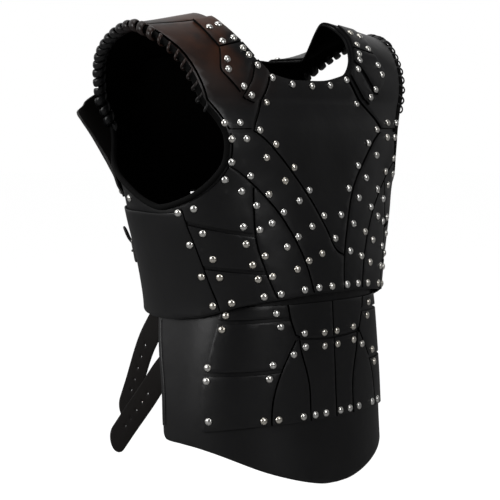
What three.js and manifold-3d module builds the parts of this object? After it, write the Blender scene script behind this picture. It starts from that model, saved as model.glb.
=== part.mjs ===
// Leather cuirass: a base layer in two sections with raised plates riveted on, round lacing at the
// armholes, and straps at the back. Millimetres, +Z up, the front faces -Y, the wearer's right is -X.
// Height zero is where the armour rests on the shoulders.
import * as THREE from "three";
import Module from "manifold-3d";

const wasm = await Module();
wasm.setup();

// Leather
const BASE_THICK = 2.5;
const PLATE_THICK = 3.0;
const LAYER_GAP = 0.4;
const SEAM_GAP = 2.6;
const RIB_GAP = 5.0;
const EDGE_INSET = 2.0;

// Body form of the upper section
const UPPER_DROP = 375;
const HALF_CHEST = 195;
const CHEST_FRONT = 116;
const CHEST_BACK = 121;
const SHOULDER_TOP = 9;
const SHOULDER_SLOPE = 0.17;
const NECK_SIDE = 100;
const ROLL_START = 100;
const ROLL_LENGTH = 170;
const RIDGE = ROLL_LENGTH - ROLL_START;

// Body form of the lower section
const LOWER_DROP = 580;
const HALF_HIP = 162;
const HIP_FRONT = 125;
const HIP_BACK = 122;

// Back plate
const FLARE = 31;
const FLARE_FOOT = 4.4;
const FOOT_BEND = 17;

// The back of each shoulder strap sinks towards the neck
const ROLL_POWER = 1.2;
const SINK_HEIGHT = 42;
const SINK_DEPTH = 35;
const SINK_INNER = 108;
const SINK_OUTER = 200;

// The nape stands a little higher than the straps beside it
const NAPE_RISE = 9;
const NAPE_LOW = 95;
const NAPE_HIGH = 55;
const NAPE_NEAR = 60;
const NAPE_FAR = 95;
const NAPE_INNER = 72;
const NAPE_OUTER = 112;

// Lacing, straps and buckles
const LACE_RADIUS = 4.2;
const LACE_CLEAR = 0.9;
const STRAP_WIDTH = 36;
const STRAP_THICK = 2.8;
const STRAP_HOLE = 5;
const HOLE_STEP = 17;
const HOLE_COUNT = 5;
const LAST_HOLE = 45;
const BACK_STRAP_WIDTH = 22;
const BUCKLE_HEIGHT = 32;
const BUCKLE_LENGTH = 30;
const BUCKLE_WIRE = 5;

// Facets
const TURN_STEP = 10;
const ROW_STEP = 37;
const ROLL_ROWS = 5;
const MM_PER_DEGREE = 3.1;
const FLAT_DEEP = 10;
const BOW_RISE = 30;
const BOW_LENGTH = 560;
const BOW_HEIGHT = 400;

// Columns: down is the share of the drop below the shoulders; wide, front and back are shares of the
// half width, the front depth and the back depth; square is the power of the section (2 is an ellipse).
const UPPER_FORM = [
  { down: 0.267, wide: 1.28, front: 0.76, back: 1.0, square: 4.0 },
  { down: 0.373, wide: 1.14, front: 0.92, back: 1.02, square: 3.3 },
  { down: 0.533, wide: 1.01, front: 1.0, back: 1.0, square: 2.7 },
  { down: 0.667, wide: 0.96, front: 1.07, back: 0.98, square: 2.4 },
  { down: 0.8, wide: 0.87, front: 1.13, back: 0.98, square: 2.4 },
  { down: 0.92, wide: 0.81, front: 1.18, back: 1.01, square: 2.3 },
  { down: 1.0, wide: 0.795, front: 1.2, back: 1.01, square: 2.3 },
];
const LOWER_FORM = [
  { down: 0.56, wide: 0.87, front: 0.93, back: 0.92, square: 2.7 },
  { down: 0.605, wide: 0.9, front: 0.94, back: 0.93, square: 2.7 },
  { down: 0.638, wide: 0.92, front: 0.945, back: 0.935, square: 2.7 },
  { down: 0.741, wide: 0.97, front: 0.97, back: 0.97, square: 2.6 },
  { down: 0.836, wide: 1.0, front: 0.99, back: 1.0, square: 2.5 },
  { down: 0.931, wide: 0.99, front: 1.04, back: 1.01, square: 2.5 },
  { down: 1.0, wide: 0.975, front: 1.08, back: 1.01, square: 2.5 },
];

// Turn is the angle round the body in degrees, zero at the front centre and positive to the wearer's
// left. Height is the real height below the roll start and runs along the leather above it.
function upperTable() {
  return UPPER_FORM.map((row) => ({
    z: -row.down * UPPER_DROP,
    wide: row.wide * HALF_CHEST,
    front: row.front * CHEST_FRONT,
    back: row.back * CHEST_BACK,
    square: row.square,
  }));
}

function lowerTable() {
  return LOWER_FORM.map((row) => ({
    z: -row.down * LOWER_DROP,
    wide: row.wide * HALF_HIP,
    front: row.front * HIP_FRONT,
    back: row.back * HIP_BACK,
    square: row.square,
  }));
}

// Smooth values between the rows of a form table
function blend(table, z) {
  const last = table.length - 1;
  if (z >= table[0].z) return table[0];
  if (z <= table[last].z) return table[last];
  let i = 0;
  while (table[i + 1].z > z) i += 1;
  const [p, q] = [table[i], table[i + 1]];
  const h = q.z - p.z;
  const t = (z - p.z) / h;
  const row = {};
  for (const key of ["wide", "front", "back", "square"]) {
    const slope = (a, b) => (b[key] - a[key]) / (b.z - a.z);
    const s0 = i > 0 ? slope(table[i - 1], q) : slope(p, q);
    const s1 = i + 2 <= last ? slope(p, table[i + 2]) : slope(p, q);
    const w0 = 2 * t ** 3 - 3 * t ** 2 + 1;
    const w1 = t ** 3 - 2 * t ** 2 + t;
    const w2 = -2 * t ** 3 + 3 * t ** 2;
    const w3 = t ** 3 - t ** 2;
    row[key] = w0 * p[key] + w1 * h * s0 + w2 * q[key] + w3 * h * s1;
  }
  return row;
}

function shoulderTop(x) {
  return SHOULDER_TOP - SHOULDER_SLOPE * (Math.abs(x) - NECK_SIDE);
}

// Point on the outside of the base layer
function surfacePoint(form, turn, height) {
  const rolls = form.rolls && height > -ROLL_START;
  const z = rolls ? -ROLL_START : height;
  const row = blend(form.table, z);
  const angle = THREE.MathUtils.degToRad(turn);
  const s = Math.sin(angle);
  const c = Math.cos(angle);
  const n = row.square;
  const rho = (Math.abs(s) ** n + Math.abs(c) ** n) ** (1 / n);
  const x = (row.wide * s) / rho;
  let reach = c / rho;
  let up = z;
  if (rolls) {
    const lean = Math.min((height + ROLL_START) / ROLL_LENGTH, 1) * (Math.PI / 2);
    reach *= Math.max(Math.cos(lean), 0) ** ROLL_POWER;
    up = -ROLL_START + (shoulderTop(x) + ROLL_START) * Math.sin(lean);
  }
  const y = -reach * (reach > 0 ? row.front : row.back);
  if (rolls && y > 0) {
    const behind = THREE.MathUtils.smoothstep(y, 0, SINK_DEPTH);
    const inward = 1 - THREE.MathUtils.smoothstep(Math.abs(x), SINK_INNER, SINK_OUTER);
    up -= Math.max(up + SINK_HEIGHT, 0) * behind * inward;
    const above = THREE.MathUtils.smoothstep(height, -NAPE_LOW, -NAPE_HIGH);
    const back = THREE.MathUtils.smoothstep(y, NAPE_NEAR, NAPE_FAR);
    const middle = 1 - THREE.MathUtils.smoothstep(Math.abs(x), NAPE_INNER, NAPE_OUTER);
    up += NAPE_RISE * above * back * middle;
  }
  return new THREE.Vector3(x, y, up);
}

function surfaceNormal(form, turn, height) {
  const step = 0.25;
  const along = surfacePoint(form, turn + step, height).sub(surfacePoint(form, turn - step, height));
  if (form.rolls && height >= RIDGE) {
    const side = along.x > 0 ? 1 : -1;
    return new THREE.Vector3(-along.z * side, 0, along.x * side).normalize();
  }
  const upper = surfacePoint(form, turn, Math.min(height + step, form.rolls ? RIDGE : height + step));
  const rise = upper.sub(surfacePoint(form, turn, height - step));
  return along.cross(rise).normalize();
}

function gridRows(form) {
  const rows = [];
  const top = form.rolls ? -ROLL_START : form.top;
  const count = Math.ceil((top - form.foot) / ROW_STEP);
  for (let i = 0; i <= count; i += 1) rows.push(form.foot + ((top - form.foot) * i) / count);
  for (let i = 1; form.rolls && i <= ROLL_ROWS; i += 1) {
    rows.push(-ROLL_START + (ROLL_LENGTH * i) / ROLL_ROWS);
  }
  return rows;
}

const upperForm = { table: upperTable(), rolls: true, foot: -UPPER_DROP, top: RIDGE, nodes: new Map() };
const lowerForm = { table: lowerTable(), rolls: false, foot: -LOWER_DROP, nodes: new Map() };
lowerForm.top = lowerForm.table[0].z;
upperForm.rows = gridRows(upperForm);
lowerForm.rows = gridRows(lowerForm);

function gridNode(form, column, row) {
  const key = column * 1000 + row;
  if (!form.nodes.has(key)) {
    const turn = column * TURN_STEP;
    const height = form.rows[row];
    const point = surfacePoint(form, turn, height);
    form.nodes.set(key, { point, normal: surfaceNormal(form, turn, height) });
  }
  return form.nodes.get(key);
}

// A solid from plain lists of corners and triangles, and back
function solidFrom(corners, faces) {
  const mesh = new wasm.Mesh({
    numProp: 3,
    vertProperties: new Float32Array(corners),
    triVerts: new Uint32Array(faces),
  });
  mesh.merge();
  return new wasm.Manifold(mesh);
}

function solidToMesh(solid, name, finish) {
  const mesh = solid.getMesh();
  const geometry = new THREE.BufferGeometry();
  const corners = new Float32Array(mesh.vertProperties);
  geometry.setAttribute("position", new THREE.BufferAttribute(corners, 3));
  geometry.setIndex(new THREE.BufferAttribute(new Uint32Array(mesh.triVerts), 1));
  geometry.computeVertexNormals();
  const part = new THREE.Mesh(geometry, new THREE.MeshStandardMaterial(finish));
  part.name = name;
  return part;
}

// Cells on the wearer's right are split along the other diagonal, so that both sides mirror
function isRight(column) {
  const turns = 360 / TURN_STEP;
  return ((column % turns) + turns) % turns >= turns / 2;
}

// The bow keeps neighbouring facets of a flat sheet out of one plane, so that all grid lines stay
function bow(u, v) {
  return BOW_RISE * (u / BOW_LENGTH + v / BOW_HEIGHT) ** 2;
}

// Flat sheet over a run of grid columns and rows
function flatSheet(form, firstTurn, lastTurn) {
  const us = [];
  for (let t = firstTurn; t <= lastTurn; t += TURN_STEP) us.push(t * MM_PER_DEGREE);
  return flatGrid(us, form.rows, firstTurn / TURN_STEP);
}

function flatGrid(us, vs, firstColumn) {
  const corners = [];
  const faces = [];
  const at = (i, j, k) => (i * vs.length + j) * 2 + k;
  for (const u of us) {
    for (const v of vs) corners.push(u, v, bow(u, v), u, v, bow(u, v) + FLAT_DEEP);
  }
  const quad = (a, b, c, d) => faces.push(a, b, c, a, c, d);
  for (let i = 0; i + 1 < us.length; i += 1) {
    const onRight = isRight(firstColumn + i);
    for (let j = 0; j + 1 < vs.length; j += 1) {
      const cell = (k) => [at(i, j, k), at(i + 1, j, k), at(i + 1, j + 1, k), at(i, j + 1, k)];
      const outside = cell(1);
      const inside = cell(0).reverse();
      if (onRight) outside.push(outside.shift());
      else inside.push(inside.shift());
      quad(...outside);
      quad(...inside);
    }
    const top = vs.length - 1;
    quad(at(i, 0, 0), at(i + 1, 0, 0), at(i + 1, 0, 1), at(i, 0, 1));
    quad(at(i, top, 1), at(i + 1, top, 1), at(i + 1, top, 0), at(i, top, 0));
  }
  const end = us.length - 1;
  for (let j = 0; j + 1 < vs.length; j += 1) {
    quad(at(0, j, 1), at(0, j + 1, 1), at(0, j + 1, 0), at(0, j, 0));
    quad(at(end, j, 0), at(end, j + 1, 0), at(end, j + 1, 1), at(end, j, 1));
  }
  return solidFrom(corners, faces);
}

// Upright block over a closed outline
function block(outline, low = -60, high = 120) {
  const ring = outline.map(([u, v]) => new THREE.Vector2(u, v));
  if (THREE.ShapeUtils.isClockWise(ring)) ring.reverse();
  const caps = THREE.ShapeUtils.triangulateShape(ring, []);
  const count = ring.length;
  const corners = [];
  const faces = [];
  for (const p of ring) corners.push(p.x, p.y, low);
  for (const p of ring) corners.push(p.x, p.y, high);
  for (const [a, b, c] of caps) {
    faces.push(a, c, b, a + count, b + count, c + count);
  }
  for (let i = 0; i < count; i += 1) {
    const j = (i + 1) % count;
    faces.push(i, j, j + count, i, j + count, i + count);
  }
  return solidFrom(corners, faces);
}

// A line moved sideways by a distance (positive is to the left of its direction)
function shifted(line, distance) {
  return line.map((p, i) => {
    const a = line[Math.max(i - 1, 0)];
    const b = line[Math.min(i + 1, line.length - 1)];
    const length = Math.hypot(b[0] - a[0], b[1] - a[1]);
    return [p[0] - ((b[1] - a[1]) / length) * distance, p[1] + ((b[0] - a[0]) / length) * distance];
  });
}

// Groove of even width along a line, a little longer than the line at both ends
function groove(line, width, extra = 6) {
  const grown = line.map((p) => [...p]);
  const push = (end, next) => {
    const length = Math.hypot(end[0] - next[0], end[1] - next[1]);
    return [end[0] + ((end[0] - next[0]) / length) * extra, end[1] + ((end[1] - next[1]) / length) * extra];
  };
  grown.unshift(push(line[0], line[1]));
  grown.push(push(line.at(-1), line.at(-2)));
  const left = shifted(grown, width / 2);
  const right = shifted(grown, -width / 2);
  return block([...left, ...right.reverse()]);
}

// Lays a flat solid on the body between two distances from the outside of the base
function layOn(flat, form, inner, outer) {
  const mesh = flat.getMesh();
  const corners = mesh.vertProperties;
  const stride = mesh.numProp;
  const placed = [];
  const rows = form.rows;
  for (let i = 0; i < corners.length; i += stride) {
    const u = corners[i] / MM_PER_DEGREE / TURN_STEP;
    const v = corners[i + 1];
    const top = corners[i + 2] - bow(corners[i], v) > FLAT_DEEP / 2;
    let column = Math.floor(u + 1e-6);
    let row = 0;
    while (row + 2 < rows.length && rows[row + 1] <= v + 1e-6) row += 1;
    const s = Math.min(Math.max(u - column, 0), 1);
    const t = Math.min(Math.max((v - rows[row]) / (rows[row + 1] - rows[row]), 0), 1);
    const weights = isRight(column)
      ? (s + t < 1 ? [1 - s - t, s, 0, t] : [0, 1 - t, s + t - 1, 1 - s])
      : (s > t ? [1 - s, s - t, t, 0] : [1 - t, 0, s, t - s]);
    const lift = top ? outer : inner;
    const turn = u * TURN_STEP;
    const out = typeof lift === "function" ? lift(turn, v) : lift;
    const point = new THREE.Vector3();
    const cell = [[0, 0], [1, 0], [1, 1], [0, 1]];
    cell.forEach(([right, up], k) => {
      if (weights[k] === 0) return;
      const node = gridNode(form, column + right, row + up);
      point.addScaledVector(node.point, weights[k]);
      point.addScaledVector(node.normal, weights[k] * out);
    });
    for (const value of point.toArray()) placed.push(Math.round(value * 100) / 100);
  }
  return solidFrom(placed, mesh.triVerts);
}

// Tables of seams and edges. Columns: turn in degrees, down as a share of the drop of the section.
// A negative share is above the height of the shoulders, along the leather, up to the ridge.
const RIDGE_SHARE = -RIDGE / UPPER_DROP;
const upperLine = (rows) => rows.map(([turn, down]) => [turn * MM_PER_DEGREE, -down * UPPER_DROP]);
const lowerLine = (rows) => rows.map(([turn, down]) => [turn * MM_PER_DEGREE, -down * LOWER_DROP]);
const mirrored = (line) => line.map(([u, v]) => [-u, v]).reverse();

const UPPER_HEM = [
  [0, 0.896], [15, 0.897], [28, 0.906], [37, 0.913], [51, 0.93], [60, 0.948], [70, 0.966],
  [80, 0.975], [90, 0.982], [112, 0.982], [128, 0.971], [150, 0.962], [180, 0.96],
];
const NECK_FRONT = [
  [0, 0.208], [7, 0.203], [13, 0.187], [16, 0.173], [19.3, 0.125], [21.6, 0.059], [23.1, 0.007],
  [23.6, -0.061], [25.3, RIDGE_SHARE],
];
const NECK_BACK = [
  [180, 0.123], [168, 0.121], [160, 0.115], [156.6, 0.09], [156.2, 0], [156, -0.1],
  [154.7, RIDGE_SHARE],
];
const ARM_FRONT = [
  [45.5, RIDGE_SHARE], [45.2, -0.072], [43.6, 0.01], [41.6, 0.075], [40, 0.14], [38.6, 0.2],
  [37.2, 0.265], [36.6, 0.32], [37, 0.378], [38.8, 0.428], [41.6, 0.474], [46, 0.512], [51.5, 0.545],
  [59, 0.578], [67.5, 0.601], [75, 0.614], [82, 0.619], [90, 0.608],
];
const ARM_BACK = [
  [90, 0.608], [98, 0.589], [106, 0.563], [115, 0.535], [123, 0.51], [132, 0.47], [139.5, 0.42],
  [143.5, 0.36], [145, 0.3], [144, 0.22], [141, 0.13], [138, 0.05], [135.4, -0.07],
  [134.5, RIDGE_SHARE],
];
const SLIT_HALF = 5;
const SLIT_TOP = 0.58;

const neckFront = upperLine(NECK_FRONT);
const neckBack = upperLine(NECK_BACK);
const armFront = upperLine(ARM_FRONT);
const armBack = upperLine(ARM_BACK);
const hem = upperLine(UPPER_HEM);
const OVER = 40;

const turned = (line, degrees) => line.map(([u, v]) => [u + degrees * MM_PER_DEGREE, v]);

// Base of the upper section, front half and back half, joined at the ridge and at the sides
function upperBase() {
  const top = RIDGE + OVER;
  const full = -UPPER_DROP - OVER;
  const side = 90 * MM_PER_DEGREE;
  const half = 2 * side + OVER;
  const hemFront = [...mirrored(hem), ...hem.slice(1)];
  let front = flatSheet(upperForm, -90, 90);
  front = front.subtract(block([[-half, full], [half, full], ...[...hemFront].reverse()]));
  const neck = [...mirrored(neckFront), ...neckFront.slice(1)];
  front = front.subtract(block([...neck, [neck.at(-1)[0], top], [neck[0][0], top]]));
  const sideFront = [[side + OVER, armFront.at(-1)[1]], [side + OVER, top]];
  const armhole = [[armFront[0][0], top], ...armFront, ...sideFront];
  front = front.subtract(block(armhole)).subtract(block(mirrored(armhole)));
  const hemBack = [...hem, ...turned(mirrored(hem), 360).slice(1)];
  let back = flatSheet(upperForm, 90, 270);
  back = back.subtract(block([[-OVER, full], [2 * half, full], ...[...hemBack].reverse()]));
  const nape = [...neckBack].reverse().concat(turned(mirrored(neckBack), 360).reverse().slice(1));
  back = back.subtract(block([[nape[0][0], top], ...nape, [nape.at(-1)[0], top]]));
  const sideBack = [[side - OVER, top], [side - OVER, armBack[0][1]]];
  const behind = [...sideBack, ...armBack, [armBack.at(-1)[0], top]];
  back = back.subtract(block(behind));
  back = back.subtract(block(turned(mirrored(behind), 360)));
  const slitTop = -SLIT_TOP * UPPER_DROP;
  const slit = [[180 - SLIT_HALF, full], [180 + SLIT_HALF, full], [180 + SLIT_HALF, slitTop],
    [180 - SLIT_HALF, slitTop]].map(([t, v]) => [t * MM_PER_DEGREE, v]);
  back = back.subtract(block(slit));
  const shell = (flat) => layOn(flat, upperForm, -BASE_THICK, 0);
  return shell(front).add(shell(back));
}

const parts = [];
const leather = { color: 0x17171a, roughness: 0.5 };
const edging = { color: 0x0e0e10, roughness: 0.6 };
const steel = { color: 0xb9b9bd, roughness: 0.3, metalness: 1 };

function place(solid, name, finish = leather) {
  parts.push(solidToMesh(solid, name, finish));
}

// A piece of the wearer's left and its mirror piece of the wearer's right
function placePair(solid, name, finish = leather) {
  place(solid, `${name}_left`, finish);
  place(solid.mirror([1, 0, 0]), `${name}_right`, finish);
}

// The piece of a cut sheet that holds a given place
const PROBE = 2;
function pieceAt(pieces, turn, down, drop = UPPER_DROP) {
  const [u, v] = [turn * MM_PER_DEGREE, -down * drop];
  const probe = block([[u - PROBE, v - PROBE], [u + PROBE, v - PROBE], [u + PROBE, v + PROBE],
    [u - PROBE, v + PROBE]]);
  return pieces.find((piece) => piece.intersect(probe).volume() > 1);
}

// Seams of the upper section
const V_SEAM_TOP = [
  [14.6, 0.16], [18.9, 0.2475], [22.1, 0.292], [26.5, 0.34], [28.5, 0.366], [25.2, 0.397],
  [22.3, 0.4355], [18.4, 0.488], [14.4, 0.541],
];
const V_SEAM_RIGHT = [...V_SEAM_TOP, [9.6, 0.605], [4.6, 0.685], [0.4, 0.757], [-4.6, 0.782]];
const V_SEAM_LEFT = [...V_SEAM_TOP, [10.9, 0.605], [7.9, 0.685], [5.4, 0.757], [3.8, 0.82], [2.4, 0.93]];
const SHOULDER_FOOT = [[28.5, 0.366], [34, 0.366], [42, 0.366]];
const SHOULDER_HEAD = [[20, -0.07], [24.6, -0.073], [34, -0.08], [41, -0.098], [50, -0.12]];
const STRIP_SEAM = [
  [46, 0.45], [41.1, 0.476], [37.7, 0.501], [35, 0.529], [30.1, 0.582], [25.6, 0.634], [22, 0.693],
  [19.4, 0.749], [17.2, 0.811], [15.2, 0.91],
];
const RIB_SEAM = [
  [34.2, 0.54], [34.9, 0.5675], [36.1, 0.638], [37.1, 0.698], [37.4, 0.746], [36.5, 0.807],
  [35.2, 0.858], [33.5, 0.9], [31, 0.93],
];
const RIB_GAP_TOP = [[67, 0.655], [61, 0.664], [53, 0.676], [37, 0.7]];
const RIB_GAP_LOW = [[65, 0.8], [53, 0.808], [36.6, 0.82]];
const WING_FRONT = [
  [66.9, 0.58], [66.5, 0.615], [65.6, 0.663], [64.5, 0.718], [63.6, 0.785], [62.3, 0.859],
  [60.6, 0.912], [59.6, 0.96],
];
const WING_OUTLINE = [
  [66.5, 0.622], [75, 0.627], [82, 0.629], [98, 0.626], [112, 0.624], [126, 0.618], [145, 0.612],
  [158, 0.612], [160, 0.64], [160, 0.93], [158, 0.955], [150, 0.956], [128, 0.966], [112, 0.977],
  [90, 0.977], [80, 0.97], [70, 0.961], [59.9, 0.943], [60.9, 0.912], [62.6, 0.859], [63.9, 0.785],
  [64.8, 0.718], [65.9, 0.663],
];

// Second layer beside the neck
const NECK_STRIP_OUTER = [
  [31, -0.075], [31.1, -0.034], [30.9, 0.039], [30.1, 0.081], [30.8, 0.1125], [31.9, 0.164],
  [30.6, 0.19], [27.9, 0.229], [25.2, 0.27],
];
const NECK_STRIP_INNER = [
  [23.4, 0.282], [20.1, 0.238], [16.9, 0.178], [20.3, 0.125], [22.8, 0.059], [24.2, 0.007],
  [24.9, -0.061], [25.1, -0.075],
];
const BAND_GAP_TOP = [[21.4, 0.068], [25, 0.075], [29.3, 0.082], [33, 0.088]];
const BAND_GAP_LOW = [[18.6, 0.115], [21.6, 0.155], [24, 0.205], [27.6, 0.262]];

// Yoke plate on the strap behind the ridge
const YOKE_FRONT = [
  [25.6, RIDGE_SHARE], [25.3, -0.085], [34, -0.089], [41, -0.107], [44, -0.112], [44.4, RIDGE_SHARE],
];
const YOKE_BACK = [
  [135.6, RIDGE_SHARE], [136.6, -0.07], [139.2, 0.05], [141.6, 0.11], [155.1, 0.11],
  [155, 0], [154.9, -0.1], [154.4, RIDGE_SHARE],
];

// Plates of the front, cut from one sheet by the seams
function chestField() {
  const top = RIDGE + OVER;
  const full = -UPPER_DROP - OVER;
  let sheet = flatSheet(upperForm, -70, 70);
  const side = 90 * MM_PER_DEGREE;
  const nearHem = [...mirrored(hem), ...hem.slice(1)].filter(([u]) => Math.abs(u) <= side);
  const low = shifted(nearHem, EDGE_INSET);
  const limit = low.at(-1)[0];
  sheet = sheet.subtract(block([[-limit, full], [limit, full], ...[...low].reverse()]));
  const neck = shifted([...mirrored(neckFront), ...neckFront.slice(1)], -EDGE_INSET);
  sheet = sheet.subtract(block([...neck, [neck.at(-1)[0], top], [neck[0][0], top]]));
  const edge = shifted(armFront, -EDGE_INSET);
  const armhole = [[edge[0][0], top], ...edge, [side, top]];
  const wing = [...shifted(upperLine(WING_FRONT), -SEAM_GAP / 2), [side, full], [side, 0]];
  const head = [...upperLine(SHOULDER_HEAD), [side, top], [0, top]];
  for (const cut of [armhole, wing, head]) {
    sheet = sheet.subtract(block(cut)).subtract(block(mirrored(cut)));
  }
  const grooves = [
    [STRIP_SEAM, SEAM_GAP], [RIB_SEAM, SEAM_GAP], [SHOULDER_FOOT, RIB_GAP],
    [RIB_GAP_TOP, RIB_GAP], [RIB_GAP_LOW, RIB_GAP],
  ];
  for (const [rows, width] of grooves) {
    const line = upperLine(rows);
    const cut = groove(line, width, 1);
    sheet = sheet.subtract(cut).subtract(cut.mirror([1, 0, 0]));
  }
  sheet = sheet.subtract(groove(upperLine(V_SEAM_LEFT), SEAM_GAP, 1));
  sheet = sheet.subtract(groove(upperLine(V_SEAM_RIGHT), SEAM_GAP, 1).mirror([1, 0, 0]));
  return sheet.decompose();
}

// Layer zero lies on the base and layer one lies on a plate
const onUpper = (flat, layer) => {
  const inner = LAYER_GAP + layer * (PLATE_THICK + LAYER_GAP);
  return layOn(flat, upperForm, inner, inner + PLATE_THICK);
};
const onLower = (flat) => layOn(flat, lowerForm, LAYER_GAP, LAYER_GAP + PLATE_THICK);

place(upperBase(), "upper_base");

// Columns: name, and the turn and down share of a place that lies on the piece
const chest = chestField();
const CHEST_SINGLES = [
  ["chest_plate", 0, 0.43], ["chest_strip_inner_left", 20, 0.64], ["chest_strip_inner_right", -20, 0.64],
];
const CHEST_PAIRS = [
  ["shoulder_plate", 34, 0.16], ["chest_strip_outer", 30, 0.693],
  ["side_rib_top", 45, 0.573], ["side_rib_middle", 50, 0.747], ["side_rib_bottom", 50, 0.867],
];
for (const [name, turn, down] of CHEST_SINGLES) place(onUpper(pieceAt(chest, turn, down), 0), name);
for (const [name, turn, down] of CHEST_PAIRS) placePair(onUpper(pieceAt(chest, turn, down), 0), name);

const wingFlat = flatSheet(upperForm, 50, 170).intersect(block(upperLine(WING_OUTLINE)));
placePair(onUpper(wingFlat, 0), "side_wing");

let stripFlat = flatSheet(upperForm, 10, 40);
stripFlat = stripFlat.intersect(block(upperLine([...NECK_STRIP_OUTER, ...NECK_STRIP_INNER])));
stripFlat = stripFlat.subtract(groove(upperLine(BAND_GAP_TOP), SEAM_GAP, 2));
stripFlat = stripFlat.subtract(groove(upperLine(BAND_GAP_LOW), RIB_GAP, 2));
const strips = stripFlat.decompose();
const NECK_PAIRS = [["neck_strip_top", 28, -0.027], ["neck_strip_front", 27, 0.147], ["neck_band", 20.5, 0.208]];
for (const [name, turn, down] of NECK_PAIRS) placePair(onUpper(pieceAt(strips, turn, down), 1), name);

const yokeTop = (rows) => {
  const line = upperLine(rows);
  return [[line[0][0], RIDGE + OVER], ...line, [line.at(-1)[0], RIDGE + OVER]];
};
const yokeFront = flatSheet(upperForm, 20, 50).intersect(block(yokeTop(YOKE_FRONT)));
const yokeBack = flatSheet(upperForm, 130, 160).intersect(block(yokeTop(YOKE_BACK)));
placePair(onUpper(yokeFront, 0).add(onUpper(yokeBack, 0)), "yoke_plate");

// Back plate: close to the base along its foot and beside the armholes, flared at its free rim
const PLATE_SIDE = [
  [128, 0.588], [128, 0.54], [131, 0.48], [134, 0.43], [136.5, 0.36], [137, 0.284],
  [143, 0.286], [148, 0.252], [155, 0.226], [166, 0.21], [180, 0.203],
];
const PLATE_FOOT_SHARE = 0.588;
const PLATE_RIM_SHARE = 0.27;
const FLARE_START = 129;
const FLARE_FULL = 144;
const FLARE_POWER = 0.6;
function flare(turn, height) {
  const foot = -PLATE_FOOT_SHARE * UPPER_DROP;
  const rim = -PLATE_RIM_SHARE * UPPER_DROP;
  const rise = THREE.MathUtils.clamp((height - foot) / (rim - foot), 0, 1.2) ** FLARE_POWER;
  const behind = turn > 180 ? 360 - turn : turn;
  const seated = THREE.MathUtils.smoothstep(height, foot, foot + FOOT_BEND);
  const clear = LAYER_GAP + (FLARE_FOOT - LAYER_GAP) * seated;
  return clear + FLARE * rise * THREE.MathUtils.smoothstep(behind, FLARE_START, FLARE_FULL);
}
function backPlate() {
  const half = upperLine(PLATE_SIDE);
  const outline = [...half, ...turned(mirrored(half), 360).slice(1)];
  const flat = flatSheet(upperForm, 120, 240).intersect(block(outline));
  return layOn(flat, upperForm, flare, (turn, height) => flare(turn, height) + PLATE_THICK);
}
place(backPlate(), "back_plate");

// Lower section
const LOWER_HEM = [
  [0, 0.985], [8, 0.983], [16, 0.9755], [26, 0.962], [37, 0.944], [51, 0.918], [60, 0.905],
  [70, 0.896], [80, 0.892], [91, 0.889], [93.4, 0.88],
];
const LOWER_BACK = [
  [94, 0.86], [95.2, 0.81], [97.5, 0.766], [101, 0.72], [104.5, 0.67], [106.5, 0.63], [106.5, 0.575],
];
const ABDOMEN_SIDE = [[26.6, 0.59], [25, 0.62], [24.3, 0.632], [22.4, 0.655], [20.6, 0.676]];
const ABDOMEN_WAIST = [[21, 0.674], [10, 0.678], [0, 0.68]];
const ABDOMEN_OUTER = [
  [20.4, 0.668], [22.8, 0.688], [25.2, 0.707], [28.5, 0.737], [31.2, 0.773], [32.6, 0.808], [33.2, 0.86],
];
const ABDOMEN_INNER = [
  [19.6, 0.67], [19, 0.69], [18.2, 0.708], [15.8, 0.743], [14, 0.782], [13.4, 0.86],
];
const CENTRE_SEAM = [[2.2, 0.58], [2.2, 0.87]];
const FLANK_TOP_GAP = [[70, 0.634], [53, 0.634], [29, 0.631], [23, 0.63]];
const FLANK_LOW_GAP = [[70, 0.742], [61, 0.7415], [35, 0.738], [27, 0.737]];
const FLANK_BACK = [[58, 0.56], [58.5, 0.62], [60.2, 0.66], [62.6, 0.706], [65.5, 0.766], [65.2, 0.86]];
const PLATE_FOOT = [[0, 0.849], [30, 0.848], [47, 0.851], [70, 0.85]];
const LOWER_PLATE_TOP = 0.602;

const lowerHem = lowerLine(LOWER_HEM);
function lowerBase() {
  const half = [...lowerHem, ...lowerLine(LOWER_BACK)];
  const outline = [...mirrored(half), ...half.slice(1)];
  return layOn(flatSheet(lowerForm, -110, 110).intersect(block(outline)), lowerForm, -BASE_THICK, 0);
}
place(lowerBase(), "lower_base");

function abdomenField() {
  const half = [...lowerLine(PLATE_FOOT.slice(0, 3)), ...lowerLine(FLANK_BACK).reverse().slice(0, 5)];
  half.push([58.4 * MM_PER_DEGREE, -LOWER_PLATE_TOP * LOWER_DROP]);
  const outline = [...mirrored(half), ...half.slice(1)];
  let sheet = flatSheet(lowerForm, -70, 70).intersect(block(outline));
  const grooves = [
    [ABDOMEN_SIDE, SEAM_GAP], [ABDOMEN_WAIST, SEAM_GAP], [ABDOMEN_OUTER, SEAM_GAP],
    [ABDOMEN_INNER, SEAM_GAP], [FLANK_TOP_GAP, RIB_GAP], [FLANK_LOW_GAP, RIB_GAP],
  ];
  for (const [rows, width] of grooves) {
    const cut = groove(lowerLine(rows), width, 1);
    sheet = sheet.subtract(cut).subtract(cut.mirror([1, 0, 0]));
  }
  sheet = sheet.subtract(groove(lowerLine(CENTRE_SEAM), SEAM_GAP, 1));
  return sheet.decompose();
}
const abdomen = abdomenField();
const ABDOMEN_SINGLES = [
  ["abdomen_top_left", 10, 0.647], ["abdomen_top_right", -10, 0.647],
  ["abdomen_inner_left", 7, 0.759], ["abdomen_inner_right", -7, 0.759],
];
const ABDOMEN_PAIRS = [
  ["abdomen_outer", 23, 0.793], ["flank_top", 40, 0.6155], ["flank_middle", 45, 0.69],
  ["flank_bottom", 45, 0.793],
];
for (const [name, turn, down] of ABDOMEN_SINGLES) {
  place(onLower(pieceAt(abdomen, turn, down, LOWER_DROP)), name);
}
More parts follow.
